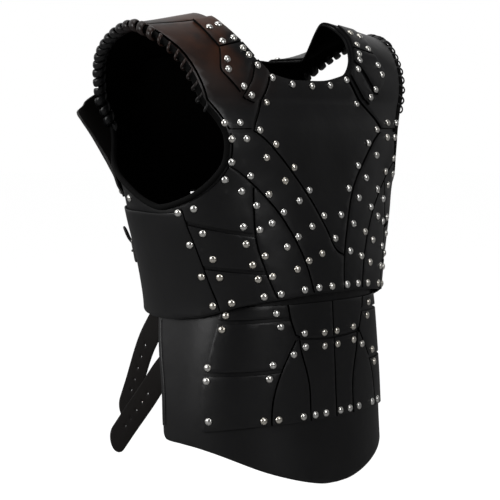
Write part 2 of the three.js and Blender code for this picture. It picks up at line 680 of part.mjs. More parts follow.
for (const [name, turn, down] of ABDOMEN_PAIRS) {
  placePair(onLower(pieceAt(abdomen, turn, down, LOWER_DROP)), name);
}

// Round lacing that fills the armhole edge on the side of the hole
function lacing(side) {
  const inset = LACE_RADIUS + LACE_CLEAR;
  const lift = (LAYER_GAP + PLATE_THICK - BASE_THICK) / 2;
  const path = [];
  const front = shifted(armFront, inset);
  const back = shifted(armBack, inset);
  for (const [u, v] of [...front.slice(0, -1), ...back.slice(0, -1)]) {
    const turn = u / MM_PER_DEGREE;
    const height = Math.min(v, RIDGE);
    const point = surfacePoint(upperForm, turn, height);
    point.addScaledVector(surfaceNormal(upperForm, turn, height), lift);
    path.push(new THREE.Vector3(point.x * side, point.y, point.z));
  }
  const curve = new THREE.CatmullRomCurve3(path, true, "centripetal");
  return new THREE.TubeGeometry(curve, 36, LACE_RADIUS, 6, true);
}
for (const [name, side] of [["arm_lacing_left", 1], ["arm_lacing_right", -1]]) {
  const lace = new THREE.Mesh(lacing(side), new THREE.MeshStandardMaterial(edging));
  lace.name = name;
  parts.push(lace);
}

// Strap along a path: rounded at its free end, with holes on the middle line
function strap(path, outward, width, holes) {
  const curve = new THREE.CatmullRomCurve3(path, false, "centripetal");
  const length = curve.getLength();
  const steps = 7;
  const us = [];
  for (let i = 0; i <= steps; i += 1) us.push((length * i) / steps);
  let flat = flatGrid(us, [-width, 0, width], 0);
  const outline = [[0, -width / 2]];
  for (let i = 0; i <= 6; i += 1) {
    const angle = -Math.PI / 2 + (Math.PI * i) / 6;
    outline.push([length - width / 2 + (Math.cos(angle) * width) / 2, (Math.sin(angle) * width) / 2]);
  }
  outline.push([0, width / 2]);
  flat = flat.intersect(block(outline));
  for (let i = 0; i < holes; i += 1) {
    const ring = [];
    for (let k = 0; k < 6; k += 1) {
      const angle = (Math.PI * (k + 0.5)) / 3;
      const centre = length - LAST_HOLE - i * HOLE_STEP;
      ring.push([centre + (Math.cos(angle) * STRAP_HOLE) / 2, (Math.sin(angle) * STRAP_HOLE) / 2]);
    }
    flat = flat.subtract(block(ring));
  }
  const frames = us.map((u) => {
    const point = curve.getPointAt(u / length);
    const along = curve.getTangentAt(u / length);
    const across = outward.clone().cross(along).normalize();
    return { point, across, normal: along.clone().cross(across).normalize() };
  });
  const mesh = flat.getMesh();
  const placed = [];
  for (let i = 0; i < mesh.vertProperties.length; i += mesh.numProp) {
    const [u, v, w] = mesh.vertProperties.slice(i, i + 3);
    const top = w - bow(u, v) > FLAT_DEEP / 2;
    const k = Math.min(Math.floor((u / length) * steps + 1e-6), steps - 1);
    const t = (u / length) * steps - k;
    const point = new THREE.Vector3();
    for (const [frame, weight] of [[frames[k], 1 - t], [frames[k + 1], t]]) {
      point.addScaledVector(frame.point, weight);
      point.addScaledVector(frame.across, weight * v);
      point.addScaledVector(frame.normal, weight * (top ? 1 : -1) * (STRAP_THICK / 2));
    }
    placed.push(...point.toArray());
  }
  return solidFrom(placed, mesh.triVerts);
}

const at = (x, y, z) => new THREE.Vector3(x, y, z);

// Middle lines of the two hanging straps. Columns: out as a share of the half hip width, behind as a
// share of the hip's back depth, and down as a share of the lower drop.
const LOOSE_UPPER = [
  [0.826, 0.197, 0.583], [0.8505, 0.352, 0.641], [0.867, 0.533, 0.702], [0.852, 0.77, 0.803],
  [0.821, 0.975, 0.876],
];
const LOOSE_LOWER = [
  [0.9235, 0.033, 0.721], [0.945, 0.197, 0.759], [0.94, 0.402, 0.807], [0.92, 0.73, 0.876],
  [0.889, 1.041, 0.94],
];
const OUTWARD = at(-1, 0.12, 0);
for (const [name, rows] of [["loose_strap_upper", LOOSE_UPPER], ["loose_strap_lower", LOOSE_LOWER]]) {
  const path = rows.map(([out, behind, down]) => at(-out * HALF_HIP, behind * HIP_BACK, -down * LOWER_DROP));
  place(strap(path, OUTWARD, STRAP_WIDTH, HOLE_COUNT), name);
}

// Flat frame with a straight-sided opening
function frame(turn, height, length, tall, wire) {
  const u = turn * MM_PER_DEGREE;
  const box = (a, b) => [
    [u - a, height - b], [u + a, height - b], [u + a, height + b], [u - a, height + b],
  ];
  const ring = block(box(length / 2, tall / 2));
  return ring.subtract(block(box(length / 2 - wire, tall / 2 - wire)));
}

// Fastened strap and buckle over the wings at the back
const BACK_STRAP_HEIGHT = -0.773 * UPPER_DROP;
const BACK_STRAP_START = 134;
const BACK_STRAP_END = 228;
const BACK_BUCKLE_TURN = 221;
const strapLift = 2 * LAYER_GAP + PLATE_THICK;
const buckleLift = strapLift + STRAP_THICK + LAYER_GAP;
const backSheet = flatSheet(upperForm, 130, 240);
const bandLow = BACK_STRAP_HEIGHT - BACK_STRAP_WIDTH / 2;
const bandHigh = BACK_STRAP_HEIGHT + BACK_STRAP_WIDTH / 2;
const band = block([
  [BACK_STRAP_START * MM_PER_DEGREE, bandLow], [BACK_STRAP_END * MM_PER_DEGREE, bandLow],
  [BACK_STRAP_END * MM_PER_DEGREE, bandHigh], [BACK_STRAP_START * MM_PER_DEGREE, bandHigh],
]);
place(layOn(backSheet.intersect(band), upperForm, strapLift, strapLift + STRAP_THICK), "back_strap");
const backFrame = frame(BACK_BUCKLE_TURN, BACK_STRAP_HEIGHT, BUCKLE_LENGTH, BUCKLE_HEIGHT, BUCKLE_WIRE);
place(
  layOn(backSheet.intersect(backFrame), upperForm, buckleLift, buckleLift + PLATE_THICK),
  "back_buckle",
  steel,
);

// Free end of the fastened strap. Columns: x, y and z in millimetres from its root on the wing.
const tipRoot = surfacePoint(upperForm, BACK_BUCKLE_TURN - 362, BACK_STRAP_HEIGHT + 5);
const STRAP_END = [[-9.2, 9.2, 0], [-13, 14, 8], [-18, 19, 24]];
const strapEnd = STRAP_END.map((row) => tipRoot.clone().add(at(...row)));
place(strap(strapEnd, at(-0.7, 0.7, 0), BACK_STRAP_WIDTH, 0), "back_strap_end");

// Plain buckles on the wearer's left back edge of the lower section, for the two loose straps
const sideSheet = flatSheet(lowerForm, 80, 110);
const SIDE_BUCKLES = [["side_buckle_upper", 96, 0.676], ["side_buckle_lower", 90, 0.779]];
for (const [name, turn, down] of SIDE_BUCKLES) {
  const tall = STRAP_WIDTH + 2 * BUCKLE_WIRE + 2;
  const ring = frame(turn, -down * LOWER_DROP, BUCKLE_LENGTH, tall, BUCKLE_WIRE);
  place(layOn(sideSheet.intersect(ring), lowerForm, LAYER_GAP, LAYER_GAP + PLATE_THICK), name, steel);
}

const cuirass = new THREE.Group();
cuirass.name = "leather_cuirass";
for (const part of parts) cuirass.add(part);
export default cuirass;
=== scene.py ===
# %% [markdown]
# Leather cuirass. The armour is cut from flat leather, so this lesson works as its maker does: each
# piece is drawn flat, cut along its seams, laid on the form of the body and given its thickness. The
# flat drawing has two directions: the turn round the body in degrees, and the way down the leather.
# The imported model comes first, and each piece here takes the place of the plain solid of its name.

# %% Load the frame
import math

import bpy
import numpy as np
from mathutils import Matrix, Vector, noise
from mathutils.geometry import delaunay_2d_cdt
from mathutils.kdtree import KDTree


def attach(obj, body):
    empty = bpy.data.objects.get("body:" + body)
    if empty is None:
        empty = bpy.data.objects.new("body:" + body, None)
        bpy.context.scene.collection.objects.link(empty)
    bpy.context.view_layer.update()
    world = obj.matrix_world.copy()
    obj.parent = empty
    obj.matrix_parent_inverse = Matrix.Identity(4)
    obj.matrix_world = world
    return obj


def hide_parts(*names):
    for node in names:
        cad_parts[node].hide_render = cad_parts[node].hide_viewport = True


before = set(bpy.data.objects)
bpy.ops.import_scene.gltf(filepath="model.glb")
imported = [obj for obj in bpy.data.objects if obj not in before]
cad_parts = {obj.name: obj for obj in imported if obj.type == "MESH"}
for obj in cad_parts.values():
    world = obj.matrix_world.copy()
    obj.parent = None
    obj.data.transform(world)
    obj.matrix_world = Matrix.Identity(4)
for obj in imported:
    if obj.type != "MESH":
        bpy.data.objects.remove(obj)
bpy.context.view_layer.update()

MM = 0.001

# %% [markdown]
# The camera comes before the pieces. The armour is seen from its wearer's right front, level, with a
# long lens. The lens is shifted down and a little to the side, because the photograph is framed below
# the height of the lens.

# %% Camera
CAMERA_AWAY = 1.95
CAMERA_HEIGHT = -0.129
CAMERA_TURN = math.radians(-45)
bpy.ops.object.camera_add(
    location=(CAMERA_AWAY * math.sin(CAMERA_TURN), -CAMERA_AWAY * math.cos(CAMERA_TURN), CAMERA_HEIGHT),
    rotation=(math.pi / 2, 0, CAMERA_TURN),
)
camera = bpy.context.object
camera.data.lens = 108
camera.data.sensor_width = 36
camera.data.shift_x = -0.022
camera.data.shift_y = -0.252
bpy.context.scene.camera = camera
print("camera", [round(v, 3) for v in camera.location])

# %% [markdown]
# Black leather shows by what it reflects. The room that it reflects is dim in front and bright behind,
# which gives a dark middle and pale rims. Soft lights stand in front, above and at both sides. What the
# camera sees directly, the backdrop and the floor, is plain and pale.

# %% Light and floor
FLOOR_HEIGHT, FLOOR_SIZE = -0.78, 30
# Columns: name, place, the place it points at, size and power
LIGHTS = [
    ("key_light", (-0.15, -2.1, 0.75), (0, 0, -0.2), (0.5, 1.1), 16),
    ("side_light", (2.1, -0.9, 0.35), (0, 0, -0.25), (0.6, 1.5), 1.5),
    ("right_light", (-2.3, 0.4, 0.5), (0, 0, -0.1), (0.9, 1.1), 23),
    ("top_light", (-0.35, -0.1, 1.9), (0, 0, -0.1), (1.3, 1.3), 13),
]
for name, place, aim, size, power in LIGHTS:
    bpy.ops.object.light_add(type="AREA", location=place)
    light = bpy.context.object
    light.name = name
    light.data.shape = "RECTANGLE"
    light.data.size, light.data.size_y = size
    light.data.energy = power
    light.rotation_euler = (Vector(aim) - Vector(place)).to_track_quat("-Z", "Y").to_euler()
bpy.ops.mesh.primitive_plane_add(size=FLOOR_SIZE, location=(0, 0, FLOOR_HEIGHT))
floor = bpy.context.object
floor.name = "floor"
bpy.context.scene.view_settings.view_transform = "Standard"

# %% [markdown]
# A finish is a tree of nodes, and its arithmetic reads better as Python. This small class wraps one
# socket, so that sums and products of sockets add their Math nodes.


# %% Shader sums
class Socket:
    def __init__(self, tree, link):
        self.tree, self.link = tree, link

    def _sum(self, operation, a, b):
        return node(self.tree, "ShaderNodeMath", {"operation": operation}, {0: a, 1: b})

    def __add__(self, other):
        return self._sum("ADD", self, other)

    def __sub__(self, other):
        return self._sum("SUBTRACT", self, other)

    def __rsub__(self, other):
        return self._sum("SUBTRACT", other, self)

    def __mul__(self, other):
        return self._sum("MULTIPLY", self, other)

    __radd__ = __add__
    __rmul__ = __mul__


def node(tree, kind, settings=None, values=None, out=0):
    made = tree.nodes.new(kind)
    for key, value in (settings or {}).items():
        setattr(made, key, value)
    for key, value in (values or {}).items():
        if isinstance(value, Socket):
            tree.links.new(value.link, made.inputs[key])
        else:
            made.inputs[key].default_value = value
    return Socket(tree, made.outputs[out])


def finish(name, roughness, metallic=0.0, shine=0.5):
    material = bpy.data.materials.new(name)
    material.use_nodes = True
    tree = material.node_tree
    shader = tree.nodes["Principled BSDF"]
    shader.inputs["Metallic"].default_value = metallic
    shader.inputs["Roughness"].default_value = roughness
    shader.inputs["Specular IOR Level"].default_value = shine
    return material, tree, shader


def blotch(tree, where, size, detail=3.0):
    """Soft noise from 0 to 1 whose patches are about size metres wide"""
    return node(tree, "ShaderNodeTexNoise", {}, {"Vector": where, "Scale": 1 / size, "Detail": detail})


def mix_colour(tree, amount, first, second):
    ends = {key: end if isinstance(end, Socket) else (*end, 1) for key, end in ((6, first), (7, second))}
    return node(tree, "ShaderNodeMix", {"data_type": "RGBA"}, {0: amount, **ends}, out=2)


def step(tree, value, low, high):
    ends = {"Value": value, "From Min": low, "From Max": high}
    return node(tree, "ShaderNodeMapRange", {"interpolation_type": "SMOOTHSTEP"}, ends)


def bump(tree, strength, distance, height, **under):
    values = {"Strength": strength, "Distance": distance, "Height": height, **under}
    return node(tree, "ShaderNodeBump", {}, values)


def feed(tree, shader, **links):
    for name, value in links.items():
        tree.links.new(value.link, shader.inputs[name.replace("_", " ")])


# %% [markdown]
# Smooth black leather: a half gloss with a very fine grain, slow changes of gloss where it has been
# handled, a few faint scuffs, and shallow waves. One shoulder has a warm brown cast, where the dye is
# thinner. The flesh side and the cut edges are dull, so they get finishes of their own. Some cut edges
# get a pale finish instead, a painted highlight for the light that their rounded rims catch.


# %% Leather finishes
WARM_PLACE, WARM_TONE, SCUFF_TONE = (-0.13, -0.05, 0.0), (0.07, 0.022, 0.008), (0.03, 0.029, 0.028)


def grain_leather(name, colour, gloss, grain=1.0, shine=0.38):
    material, tree, shader = finish(name, gloss, shine=shine)
    where = node(tree, "ShaderNodeTexCoord", out=3)
    worn = blotch(tree, where, 0.05)
    cloud = blotch(tree, where, 0.18, 2.0)
    scuff = step(tree, blotch(tree, where, 0.012, 6.0), 0.66, 0.8)
    away = node(tree, "ShaderNodeVectorMath", {"operation": "DISTANCE"}, {0: where, 1: WARM_PLACE}, out=1)
    warm = (1 - step(tree, away, 0.02, 0.13)) * step(tree, blotch(tree, where, 0.06), 0.3, 0.6)
    tone = mix_colour(tree, cloud, tuple(c * 0.75 for c in colour), tuple(c * 1.25 for c in colour))
    tone = mix_colour(tree, scuff * 0.25, tone, SCUFF_TONE)
    tone = mix_colour(tree, warm * 0.9, tone, WARM_TONE)
    pores = node(tree, "ShaderNodeTexVoronoi", {}, {"Vector": where, "Scale": 900.0})
    waves = bump(tree, 0.25, 0.0015, blotch(tree, where, 0.022, 2.0))
    fine = bump(tree, 0.12 * grain, 0.0002, pores, Normal=waves)
    feed(tree, shader, Base_Color=tone, Roughness=gloss - 0.06 + worn * 0.14 + scuff * 0.12, Normal=fine)
    return material


def dull_leather(name, colour, rough, shine=0.12):
    material, tree, shader = finish(name, rough, shine=shine)
    where = node(tree, "ShaderNodeTexCoord", out=3)
    tone = mix_colour(tree, blotch(tree, where, 0.03), tuple(c * 0.7 for c in colour), colour)
    nap = bump(tree, 0.3, 0.0004, blotch(tree, where, 0.0012, 4.0))
    feed(tree, shader, Base_Color=tone, Normal=nap)
    return material


black_grain = grain_leather("black_grain", (0.0055, 0.0054, 0.006), 0.39)
strap_grain = grain_leather("strap_grain", (0.005, 0.0036, 0.003), 0.5, shine=0.12)
thong_leather = grain_leather("thong_leather", (0.005, 0.005, 0.0055), 0.34, 0.6)
flesh_side = dull_leather("flesh_side", (0.0012, 0.0011, 0.001), 0.95, 0.02)
cut_edge = dull_leather("cut_edge", (0.003, 0.003, 0.003), 0.8)
# The pale edge finish below is a painted highlight: its paleness stands in for light caught on a rounded cut edge.
edge_highlight = dull_leather("edge_highlight", (0.05, 0.049, 0.047), 0.6, 0.3)
print("leather finishes", len(bpy.data.materials))

# %% [markdown]
# The rivets are nickel plated and a little yellow where the plating has worn. They mirror the room, so
# their roughness is low and broken by fine wear. The buckle at the back is darker and duller.


# %% Metal finishes
def plated_metal(name, colour, worn_colour, rough):
    material, tree, shader = finish(name, rough, 1.0)
    where = node(tree, "ShaderNodeTexCoord", out=3)
    wear = step(tree, blotch(tree, where, 0.008, 3.0), 0.5, 0.8)
    side = step(tree, blotch(tree, where, 0.09, 1.0), 0.4, 0.7)
    tone = mix_colour(tree, side * 0.5 + wear * 0.3, colour, worn_colour)
    feed(tree, shader, Base_Color=tone, Roughness=rough + wear * 0.08)
    return material


nickel = plated_metal("nickel", (0.93, 0.92, 0.89), (0.85, 0.76, 0.6), 0.28)
dark_metal = plated_metal("dark_metal", (0.16, 0.155, 0.15), (0.08, 0.075, 0.07), 0.36)
print("metals", nickel.name, dark_metal.name)

# %% [markdown]
# The room is a world whose strength grows from front to back. Only rays that leave the camera see the
# white backdrop, and the floor adds a little light of its own for them, so that it stays pale.

# %% Room and floor finish
FLOOR_TONE, FLOOR_GLOW = 0.3, 0.92
pale_floor, floor_tree, floor_shader = finish("pale_floor", 0.9, shine=0.0)
floor_shader.inputs["Base Color"].default_value = (FLOOR_TONE, FLOOR_TONE, FLOOR_TONE, 1)
floor_shader.inputs["Emission Strength"].default_value = 1.0
feed(floor_tree, floor_shader, Emission_Color=node(floor_tree, "ShaderNodeLightPath") * FLOOR_GLOW)
floor.data.materials.append(pale_floor)

ROOM_FRONT, ROOM_BEHIND, ROOM_WAY = 0.035, 0.8, (0.15, 0.99, 0.0)
world = bpy.data.worlds.new("room")
bpy.context.scene.world = world
world.use_nodes = True
room = world.node_tree
backdrop = room.nodes["Background"]
backdrop.inputs["Color"].default_value = (1, 1, 1, 1)
ways = {0: node(room, "ShaderNodeTexCoord"), 1: ROOM_WAY}
toward = node(room, "ShaderNodeVectorMath", {"operation": "DOT_PRODUCT"}, ways, out=1)
dim = step(room, toward, -0.1, 0.8) * (ROOM_BEHIND - ROOM_FRONT) + ROOM_FRONT
seen = node(room, "ShaderNodeLightPath")
room.links.new((seen + (1 - seen) * dim).link, backdrop.inputs["Strength"])
print("room", ROOM_FRONT, "to", ROOM_BEHIND)

# %% [markdown]
# The body form. Real armour of this kind is bent round a torso: nearly flat in front, tight at the
# sides, and rolled over the shoulders. Each row of a table gives the section at one height: how far it
# is down, its width, its depth in front and behind, and how square it is.

# %% Form tables
UPPER_DROP, LOWER_DROP = 375, 580
ROLL_START, ROLL_LENGTH, ROLL_POWER = 100, 170, 1.2
RIDGE = ROLL_LENGTH - ROLL_START
SHOULDER_TOP, SHOULDER_SLOPE, NECK_SIDE = 9, 0.17, 100
SINK_HEIGHT, SINK_DEPTH, SINK_INNER, SINK_OUTER = 42, 35, 108, 200
NAPE_RISE, NAPE_LOW, NAPE_HIGH, NAPE_NEAR, NAPE_FAR, NAPE_INNER, NAPE_OUTER = 9, 95, 55, 60, 95, 72, 112
MM_PER_DEGREE = 3.1

# Columns: down, width, front depth, back depth, squareness
UPPER_FORM = {
    "drop": UPPER_DROP, "size": (195, 116, 121), "rolls": True,
    "rows": [
        (0.267, 1.28, 0.76, 1.0, 4.0), (0.373, 1.14, 0.92, 1.02, 3.3), (0.533, 1.01, 1.0, 1.0, 2.7),
        (0.667, 0.96, 1.07, 0.98, 2.4), (0.8, 0.87, 1.13, 0.98, 2.4), (0.92, 0.81, 1.18, 1.01, 2.3),
        (1.0, 0.795, 1.2, 1.01, 2.3),
    ],
}
LOWER_FORM = {
    "drop": LOWER_DROP, "size": (162, 125, 122), "rolls": False,
    "rows": [
        (0.56, 0.87, 0.93, 0.92, 2.7), (0.605, 0.9, 0.94, 0.93, 2.7), (0.638, 0.92, 0.945, 0.935, 2.7),
        (0.741, 0.97, 0.97, 0.97, 2.6), (0.836, 1.0, 0.99, 1.0, 2.5), (0.931, 0.99, 1.04, 1.01, 2.5),
        (1.0, 0.975, 1.08, 1.01, 2.5),
    ],
}


def unit(rows):
    return rows / np.linalg.norm(rows, axis=1)[:, None]


def hermite(t, span, start, leave, end, arrive):
    """A smooth way from start to end, with the slopes that it leaves and arrives by"""
    return (
        (2 * t**3 - 3 * t**2 + 1) * start + (t**3 - 2 * t**2 + t) * span * leave
        + (3 * t**2 - 2 * t**3) * end + (t**3 - t**2) * span * arrive
    )


def section(form, height):
    """Half width, front depth, back depth and squareness at each height, smooth between the rows"""
    rows = np.array(form["rows"][::-1])
    z = -rows[:, 0] * form["drop"]
    values = rows[:, 1:] * np.array([*form["size"], 1.0])
    slopes = np.empty_like(values)
    slopes[1:-1] = (values[2:] - values[:-2]) / (z[2:] - z[:-2])[:, None]
    slopes[0] = (values[1] - values[0]) / (z[1] - z[0])
    slopes[-1] = (values[-1] - values[-2]) / (z[-1] - z[-2])
    h = np.clip(height, z[0], z[-1])
    i = np.clip(np.searchsorted(z, h, "right") - 1, 0, len(z) - 2)
    gap = (z[i + 1] - z[i])[:, None]
    t = ((h - z[i]) / gap[:, 0])[:, None]
    return hermite(t, gap, values[i], slopes[i], values[i + 1], slopes[i + 1]).T


# %% [markdown]
# A place on the leather is a turn and a height. Below the shoulders the height is the real one. Above,
# the leather leans back until it lies over the ridge of the shoulder. The straps behind the ridge sink
# towards the neck, and the nape between them stands a little higher.


# %% The surface of the body
def smoothstep(x, low, high):
    t = np.clip((x - low) / (high - low), 0, 1)
    return t * t * (3 - 2 * t)


def surface(form, turn, height):
    turn, height = np.broadcast_arrays(np.asarray(turn, float), np.asarray(height, float))
    lean = np.clip((height + ROLL_START) / ROLL_LENGTH, 0, 1) * (math.pi / 2) * form["rolls"]
    low = np.minimum(height, -ROLL_START) if form["rolls"] else height
    wide, front, back, square = section(form, low)
    s, c = np.sin(np.radians(turn)), np.cos(np.radians(turn))
    rho = (np.abs(s) ** square + np.abs(c) ** square) ** (1 / square)
    x = wide * s / rho
    reach = c / rho * np.maximum(np.cos(lean), 0) ** ROLL_POWER
    top = SHOULDER_TOP - SHOULDER_SLOPE * (np.abs(x) - NECK_SIDE) + ROLL_START
    up = np.where(lean > 0, top * np.sin(lean) - ROLL_START, height)
    y = -reach * np.where(reach > 0, front, back)
    if form["rolls"]:
        behind = smoothstep(y, 0, SINK_DEPTH) * (1 - smoothstep(np.abs(x), SINK_INNER, SINK_OUTER))
        up = up - np.maximum(up + SINK_HEIGHT, 0) * behind * (lean > 0)
        nape = smoothstep(height, -NAPE_LOW, -NAPE_HIGH) * smoothstep(y, NAPE_NEAR, NAPE_FAR)
        up = up + NAPE_RISE * nape * (1 - smoothstep(np.abs(x), NAPE_INNER, NAPE_OUTER))
    return np.stack([x, y, up], -1)


def outward(form, turn, height):
    side = surface(form, turn + 0.25, height) - surface(form, turn - 0.25, height)
    top = np.minimum(height + 0.25, RIDGE) if form["rolls"] else height + 0.25
    rise = surface(form, turn, top) - surface(form, turn, height - 0.5)
    normal = np.cross(side, rise)
    if form["rolls"]:
        over = np.stack([-side[:, 2], 0 * side[:, 2], side[:, 0]], -1) * np.sign(side[:, :1])
        normal = np.where((height > RIDGE - 0.3)[:, None], over, normal)
    return unit(normal)


WAVE, WAVE_LENGTH = 0.9, 70


def lay(form, uv, out):
    """Places on the body, in metres, for places in the flat drawing and a distance off the base"""
    turn, height = uv[:, 0] / MM_PER_DEGREE, uv[:, 1]
    spot = surface(form, turn, height)
    wave = np.array([noise.noise(p / WAVE_LENGTH) for p in spot]) * WAVE
    return (spot + outward(form, turn, height) * (wave + out)[:, None]) * MM


print("chest depth", round(float(np.ptp(surface(UPPER_FORM, [0, 180], [-200, -200])[:, 1]))), "mm")

# %% [markdown]
# Seams are drawn as smooth lines through a few places, like a pattern cutter's curve, and a sharp
# bend stays sharp. Lines can be moved sideways, which gives the inset of a plate and the two sides of a
# seam.


# %% Pattern lines
def flow(rows, drop, pace=3.0, sharp=48):
    """A dense line through rows of turn and share of the drop, in millimetres of the flat drawing"""
    p = np.array([(turn * MM_PER_DEGREE, -down * drop) for turn, down in rows])
    way = p[1:] - p[:-1]
    length = np.linalg.norm(way, axis=1)
    ahead = unit(way)
    bend = np.degrees(np.arccos(np.clip((ahead[1:] * ahead[:-1]).sum(1), -1, 1)))
    line = []
    for i in range(len(way)):
        first, last = ahead[i], ahead[i]
        if i > 0 and bend[i - 1] < sharp:
            first = (way[i] + way[i - 1]) / (length[i] + length[i - 1])
        if i + 1 < len(way) and bend[i] < sharp:
            last = (way[i + 1] + way[i]) / (length[i + 1] + length[i])
        count = max(1, round(length[i] / pace))
        t = (np.arange(count) / count)[:, None]
        line.append(hermite(t, length[i], p[i], first, p[i + 1], last))
    return np.concatenate([*line, p[-1:]])


def upper(rows):
    return flow(rows, UPPER_DROP)


def lower(rows):
    return flow(rows, LOWER_DROP)


def moved(line, distance):
    """The line moved to its left, or to its right by a negative distance"""
    way = unit(np.gradient(line, axis=0))
    return line + np.stack([-way[:, 1], way[:, 0]], -1) * distance


def flipped(line, about=0):
    """The same line on the other side of the body, run backwards"""
    return np.stack([2 * about * MM_PER_DEGREE - line[:, 0], line[:, 1]], -1)[::-1]


def joined(*lines):
    return np.concatenate([np.asarray(line, float).reshape(-1, 2) for line in lines])


def both(ring, about=0):
    """A cut and the same cut on the other side of the body"""
    return [ring, flipped(ring, about)]


def groove(rows, drop, width, extra=1.0):
    """The closed outline of a cut of even width along a seam, run on a little at both ends"""
    line = flow(rows, drop)
    head, tail = unit(np.array([line[0] - line[1], line[-1] - line[-2]])) * extra
    line = joined([line[0] + head], line, [line[-1] + tail])
    return joined(moved(line, width / 2), moved(line, -width / 2)[::-1])


def grooves(drop, seams, gaps):
    """Grooves on both sides of the body: narrow along the seams, wide along the gaps"""
    pairs = [(rows, SEAM_GAP) for rows in seams] + [(rows, RIB_GAP) for rows in gaps]
    return [ring for rows, width in pairs for ring in both(groove(rows, drop, width))]


# %% [markdown]
# Cutting a sheet. The outline, the holes and both sides of each seam become fixed lines, a net of
# points fills the sheet between them, and all of it is joined into well shaped triangles. Triangles
# outside the outline or inside a cut are thrown away, and the rest fall apart into pieces, as leather
# does under the knife.


# %% Points inside a sheet
NET_PACE, LINE_PACE, LINE_CLEAR = 6.5, 3.0, 2.4
DOT_RINGS, DOT_CLEAR = (3.5, 7.0), 10.5


def inside(points, ring):
    a, b = ring, np.roll(ring, -1, axis=0)
    x, y = points[:, 0, None], points[:, 1, None]
    cross = (a[:, 1] > y) != (b[:, 1] > y)
    rise = np.where(b[:, 1] == a[:, 1], 1.0, b[:, 1] - a[:, 1])
    at = a[:, 0] + (y - a[:, 1]) / rise * (b[:, 0] - a[:, 0])
    return (cross & (x < at)).sum(1) % 2 == 1


def closed(ring, pace=LINE_PACE):
    """A ring whose long straight sides are divided too"""
    made = []
    for a, b in zip(ring, np.roll(ring, -1, axis=0)):
        count = max(1, round(float(np.linalg.norm(b - a)) / pace))
        made += [a + (b - a) * k / count for k in range(count)]
    return np.array(made)


def net(low, high, pace):
    rows = []
    for j, y in enumerate(np.arange(low[1] + pace / 2, high[1], pace * 0.866)):
        shift = pace / 2 * (j % 2)
        rows += [(x, y) for x in np.arange(low[0] + shift + pace / 2, high[0], pace)]
    return np.array(rows)


# %% Sheet cutter
def cut_sheet(outline, cuts=(), dots=(), pace=NET_PACE):
    """Flat points, and the triangles that are left when the cuts are made"""
    rings = [closed(outline), *(closed(c) for c in cuts)]
    points, edges = [], []
    for ring in rings:
        first, count = len(points), len(ring)
        points += list(ring)
        edges += [(first + i, first + (i + 1) % count) for i in range(count)]
    tree = KDTree(len(points))
    for i, p in enumerate(points):
        tree.insert((*p, 0), i)
    tree.balance()
    dots = np.array(dots, float).reshape(-1, 2)
    star = [(r * math.cos(k), r * math.sin(k)) for r in DOT_RINGS for k in np.arange(0, 6.2, math.pi / 4)]
    around = (dots[:, None] + np.array(star)[None]).reshape(-1, 2)
    grid = net(outline.min(0), outline.max(0), pace)
    if len(dots):
        gap = np.linalg.norm(grid[:, None] - dots[None], axis=2).min(1)
        grid = grid[gap > DOT_CLEAR]
    filling = [p for p in joined(grid, around, dots) if tree.find((*p, 0))[2] > LINE_CLEAR]
    spots = [Vector(p) for p in [*points, *filling]]
    made = delaunay_2d_cdt(spots, edges, [], 0, 1e-4)
    flat = np.array([tuple(v) for v in made[0]])
    faces = np.array([f for f in made[2] if len(f) == 3])
    middle = flat[faces].mean(1)
    keep = inside(middle, rings[0])
    for ring in rings[1:]:
        keep &= ~inside(middle, ring)
    a, b, c = (flat[faces[:, k]] for k in range(3))
    area = (b[:, 0] - a[:, 0]) * (c[:, 1] - a[:, 1]) - (b[:, 1] - a[:, 1]) * (c[:, 0] - a[:, 0])
    faces[area < 0] = faces[area < 0][:, ::-1]
    return flat, faces[keep & (np.abs(area) > 1e-4)]


# %% Falling apart into pieces
def sort_pieces(faces):
    """The piece number of each triangle: triangles with a common side are one piece"""
    owner, sides = list(range(len(faces))), {}

    def root(i):
        while owner[i] != i:
            owner[i] = owner[owner[i]]
            i = owner[i]
        return i

    for i, face in enumerate(faces):
        for a, b in zip(face, np.roll(face, -1)):
            other = sides.setdefault((min(a, b), max(a, b)), i)
            owner[root(i)] = root(other)
    return np.array([root(i) for i in range(len(faces))])


def piece_at(sheet, labels, turn, down, drop):
    flat, faces = sheet
    spot = np.array([turn * MM_PER_DEGREE, -down * drop])
    nearest = np.linalg.norm(flat[faces].mean(1) - spot, axis=1).argmin()
    return flat, faces[labels == labels[nearest]]


# %% [markdown]
# A cut piece becomes an object: its points are laid on the body, and Solidify gives the leather its
# thickness, with other finishes for the flesh side and the cut edge. A small Bevel rounds the edge, as
# an edge tool does on the bench.


# %% From flat piece to leather
def select_only(obj):
    bpy.ops.object.select_all(action="DESELECT")
    obj.select_set(True)
    bpy.context.view_layer.objects.active = obj


def new_object(name, points, faces, materials):
    mesh = bpy.data.meshes.new(name)
    mesh.from_pydata(points.tolist(), [], faces)
    for material in materials:
        mesh.materials.append(material)
    obj = bpy.data.objects.new(name, mesh)
    bpy.context.scene.collection.objects.link(obj)
    select_only(obj)
    return obj


def in_edit(*steps):
    """Mesh steps on all of the chosen object"""
    bpy.ops.object.mode_set(mode="EDIT")
    for step_of, settings in steps:
        bpy.ops.mesh.select_all(action="SELECT")
        step_of(**settings)
    bpy.ops.object.mode_set(mode="OBJECT")


def trimmed(flat, faces):
    """The points that the triangles use, and the triangles with new numbers"""
    used, faces = np.unique(faces, return_inverse=True)
    return flat[used], faces.reshape(-1, 3)


def thicken(obj, thick, edge=0.9):
    """The mesh is the outer face; the wall goes inwards from it"""
    wall = obj.modifiers.new("wall", "SOLIDIFY")
    wall.thickness = thick * MM
    wall.offset = -1
    wall.material_offset = 1
    wall.material_offset_rim = 2
    rim = obj.modifiers.new("rim", "BEVEL")
    rim.width = edge * MM
    rim.segments = 2
    rim.limit_method = "ANGLE"
    rim.angle_limit = math.radians(50)
    select_only(obj)
    for modifier in list(obj.modifiers):
        bpy.ops.object.modifier_apply(modifier=modifier.name)
    bpy.ops.object.shade_smooth_by_angle(angle=math.radians(42))


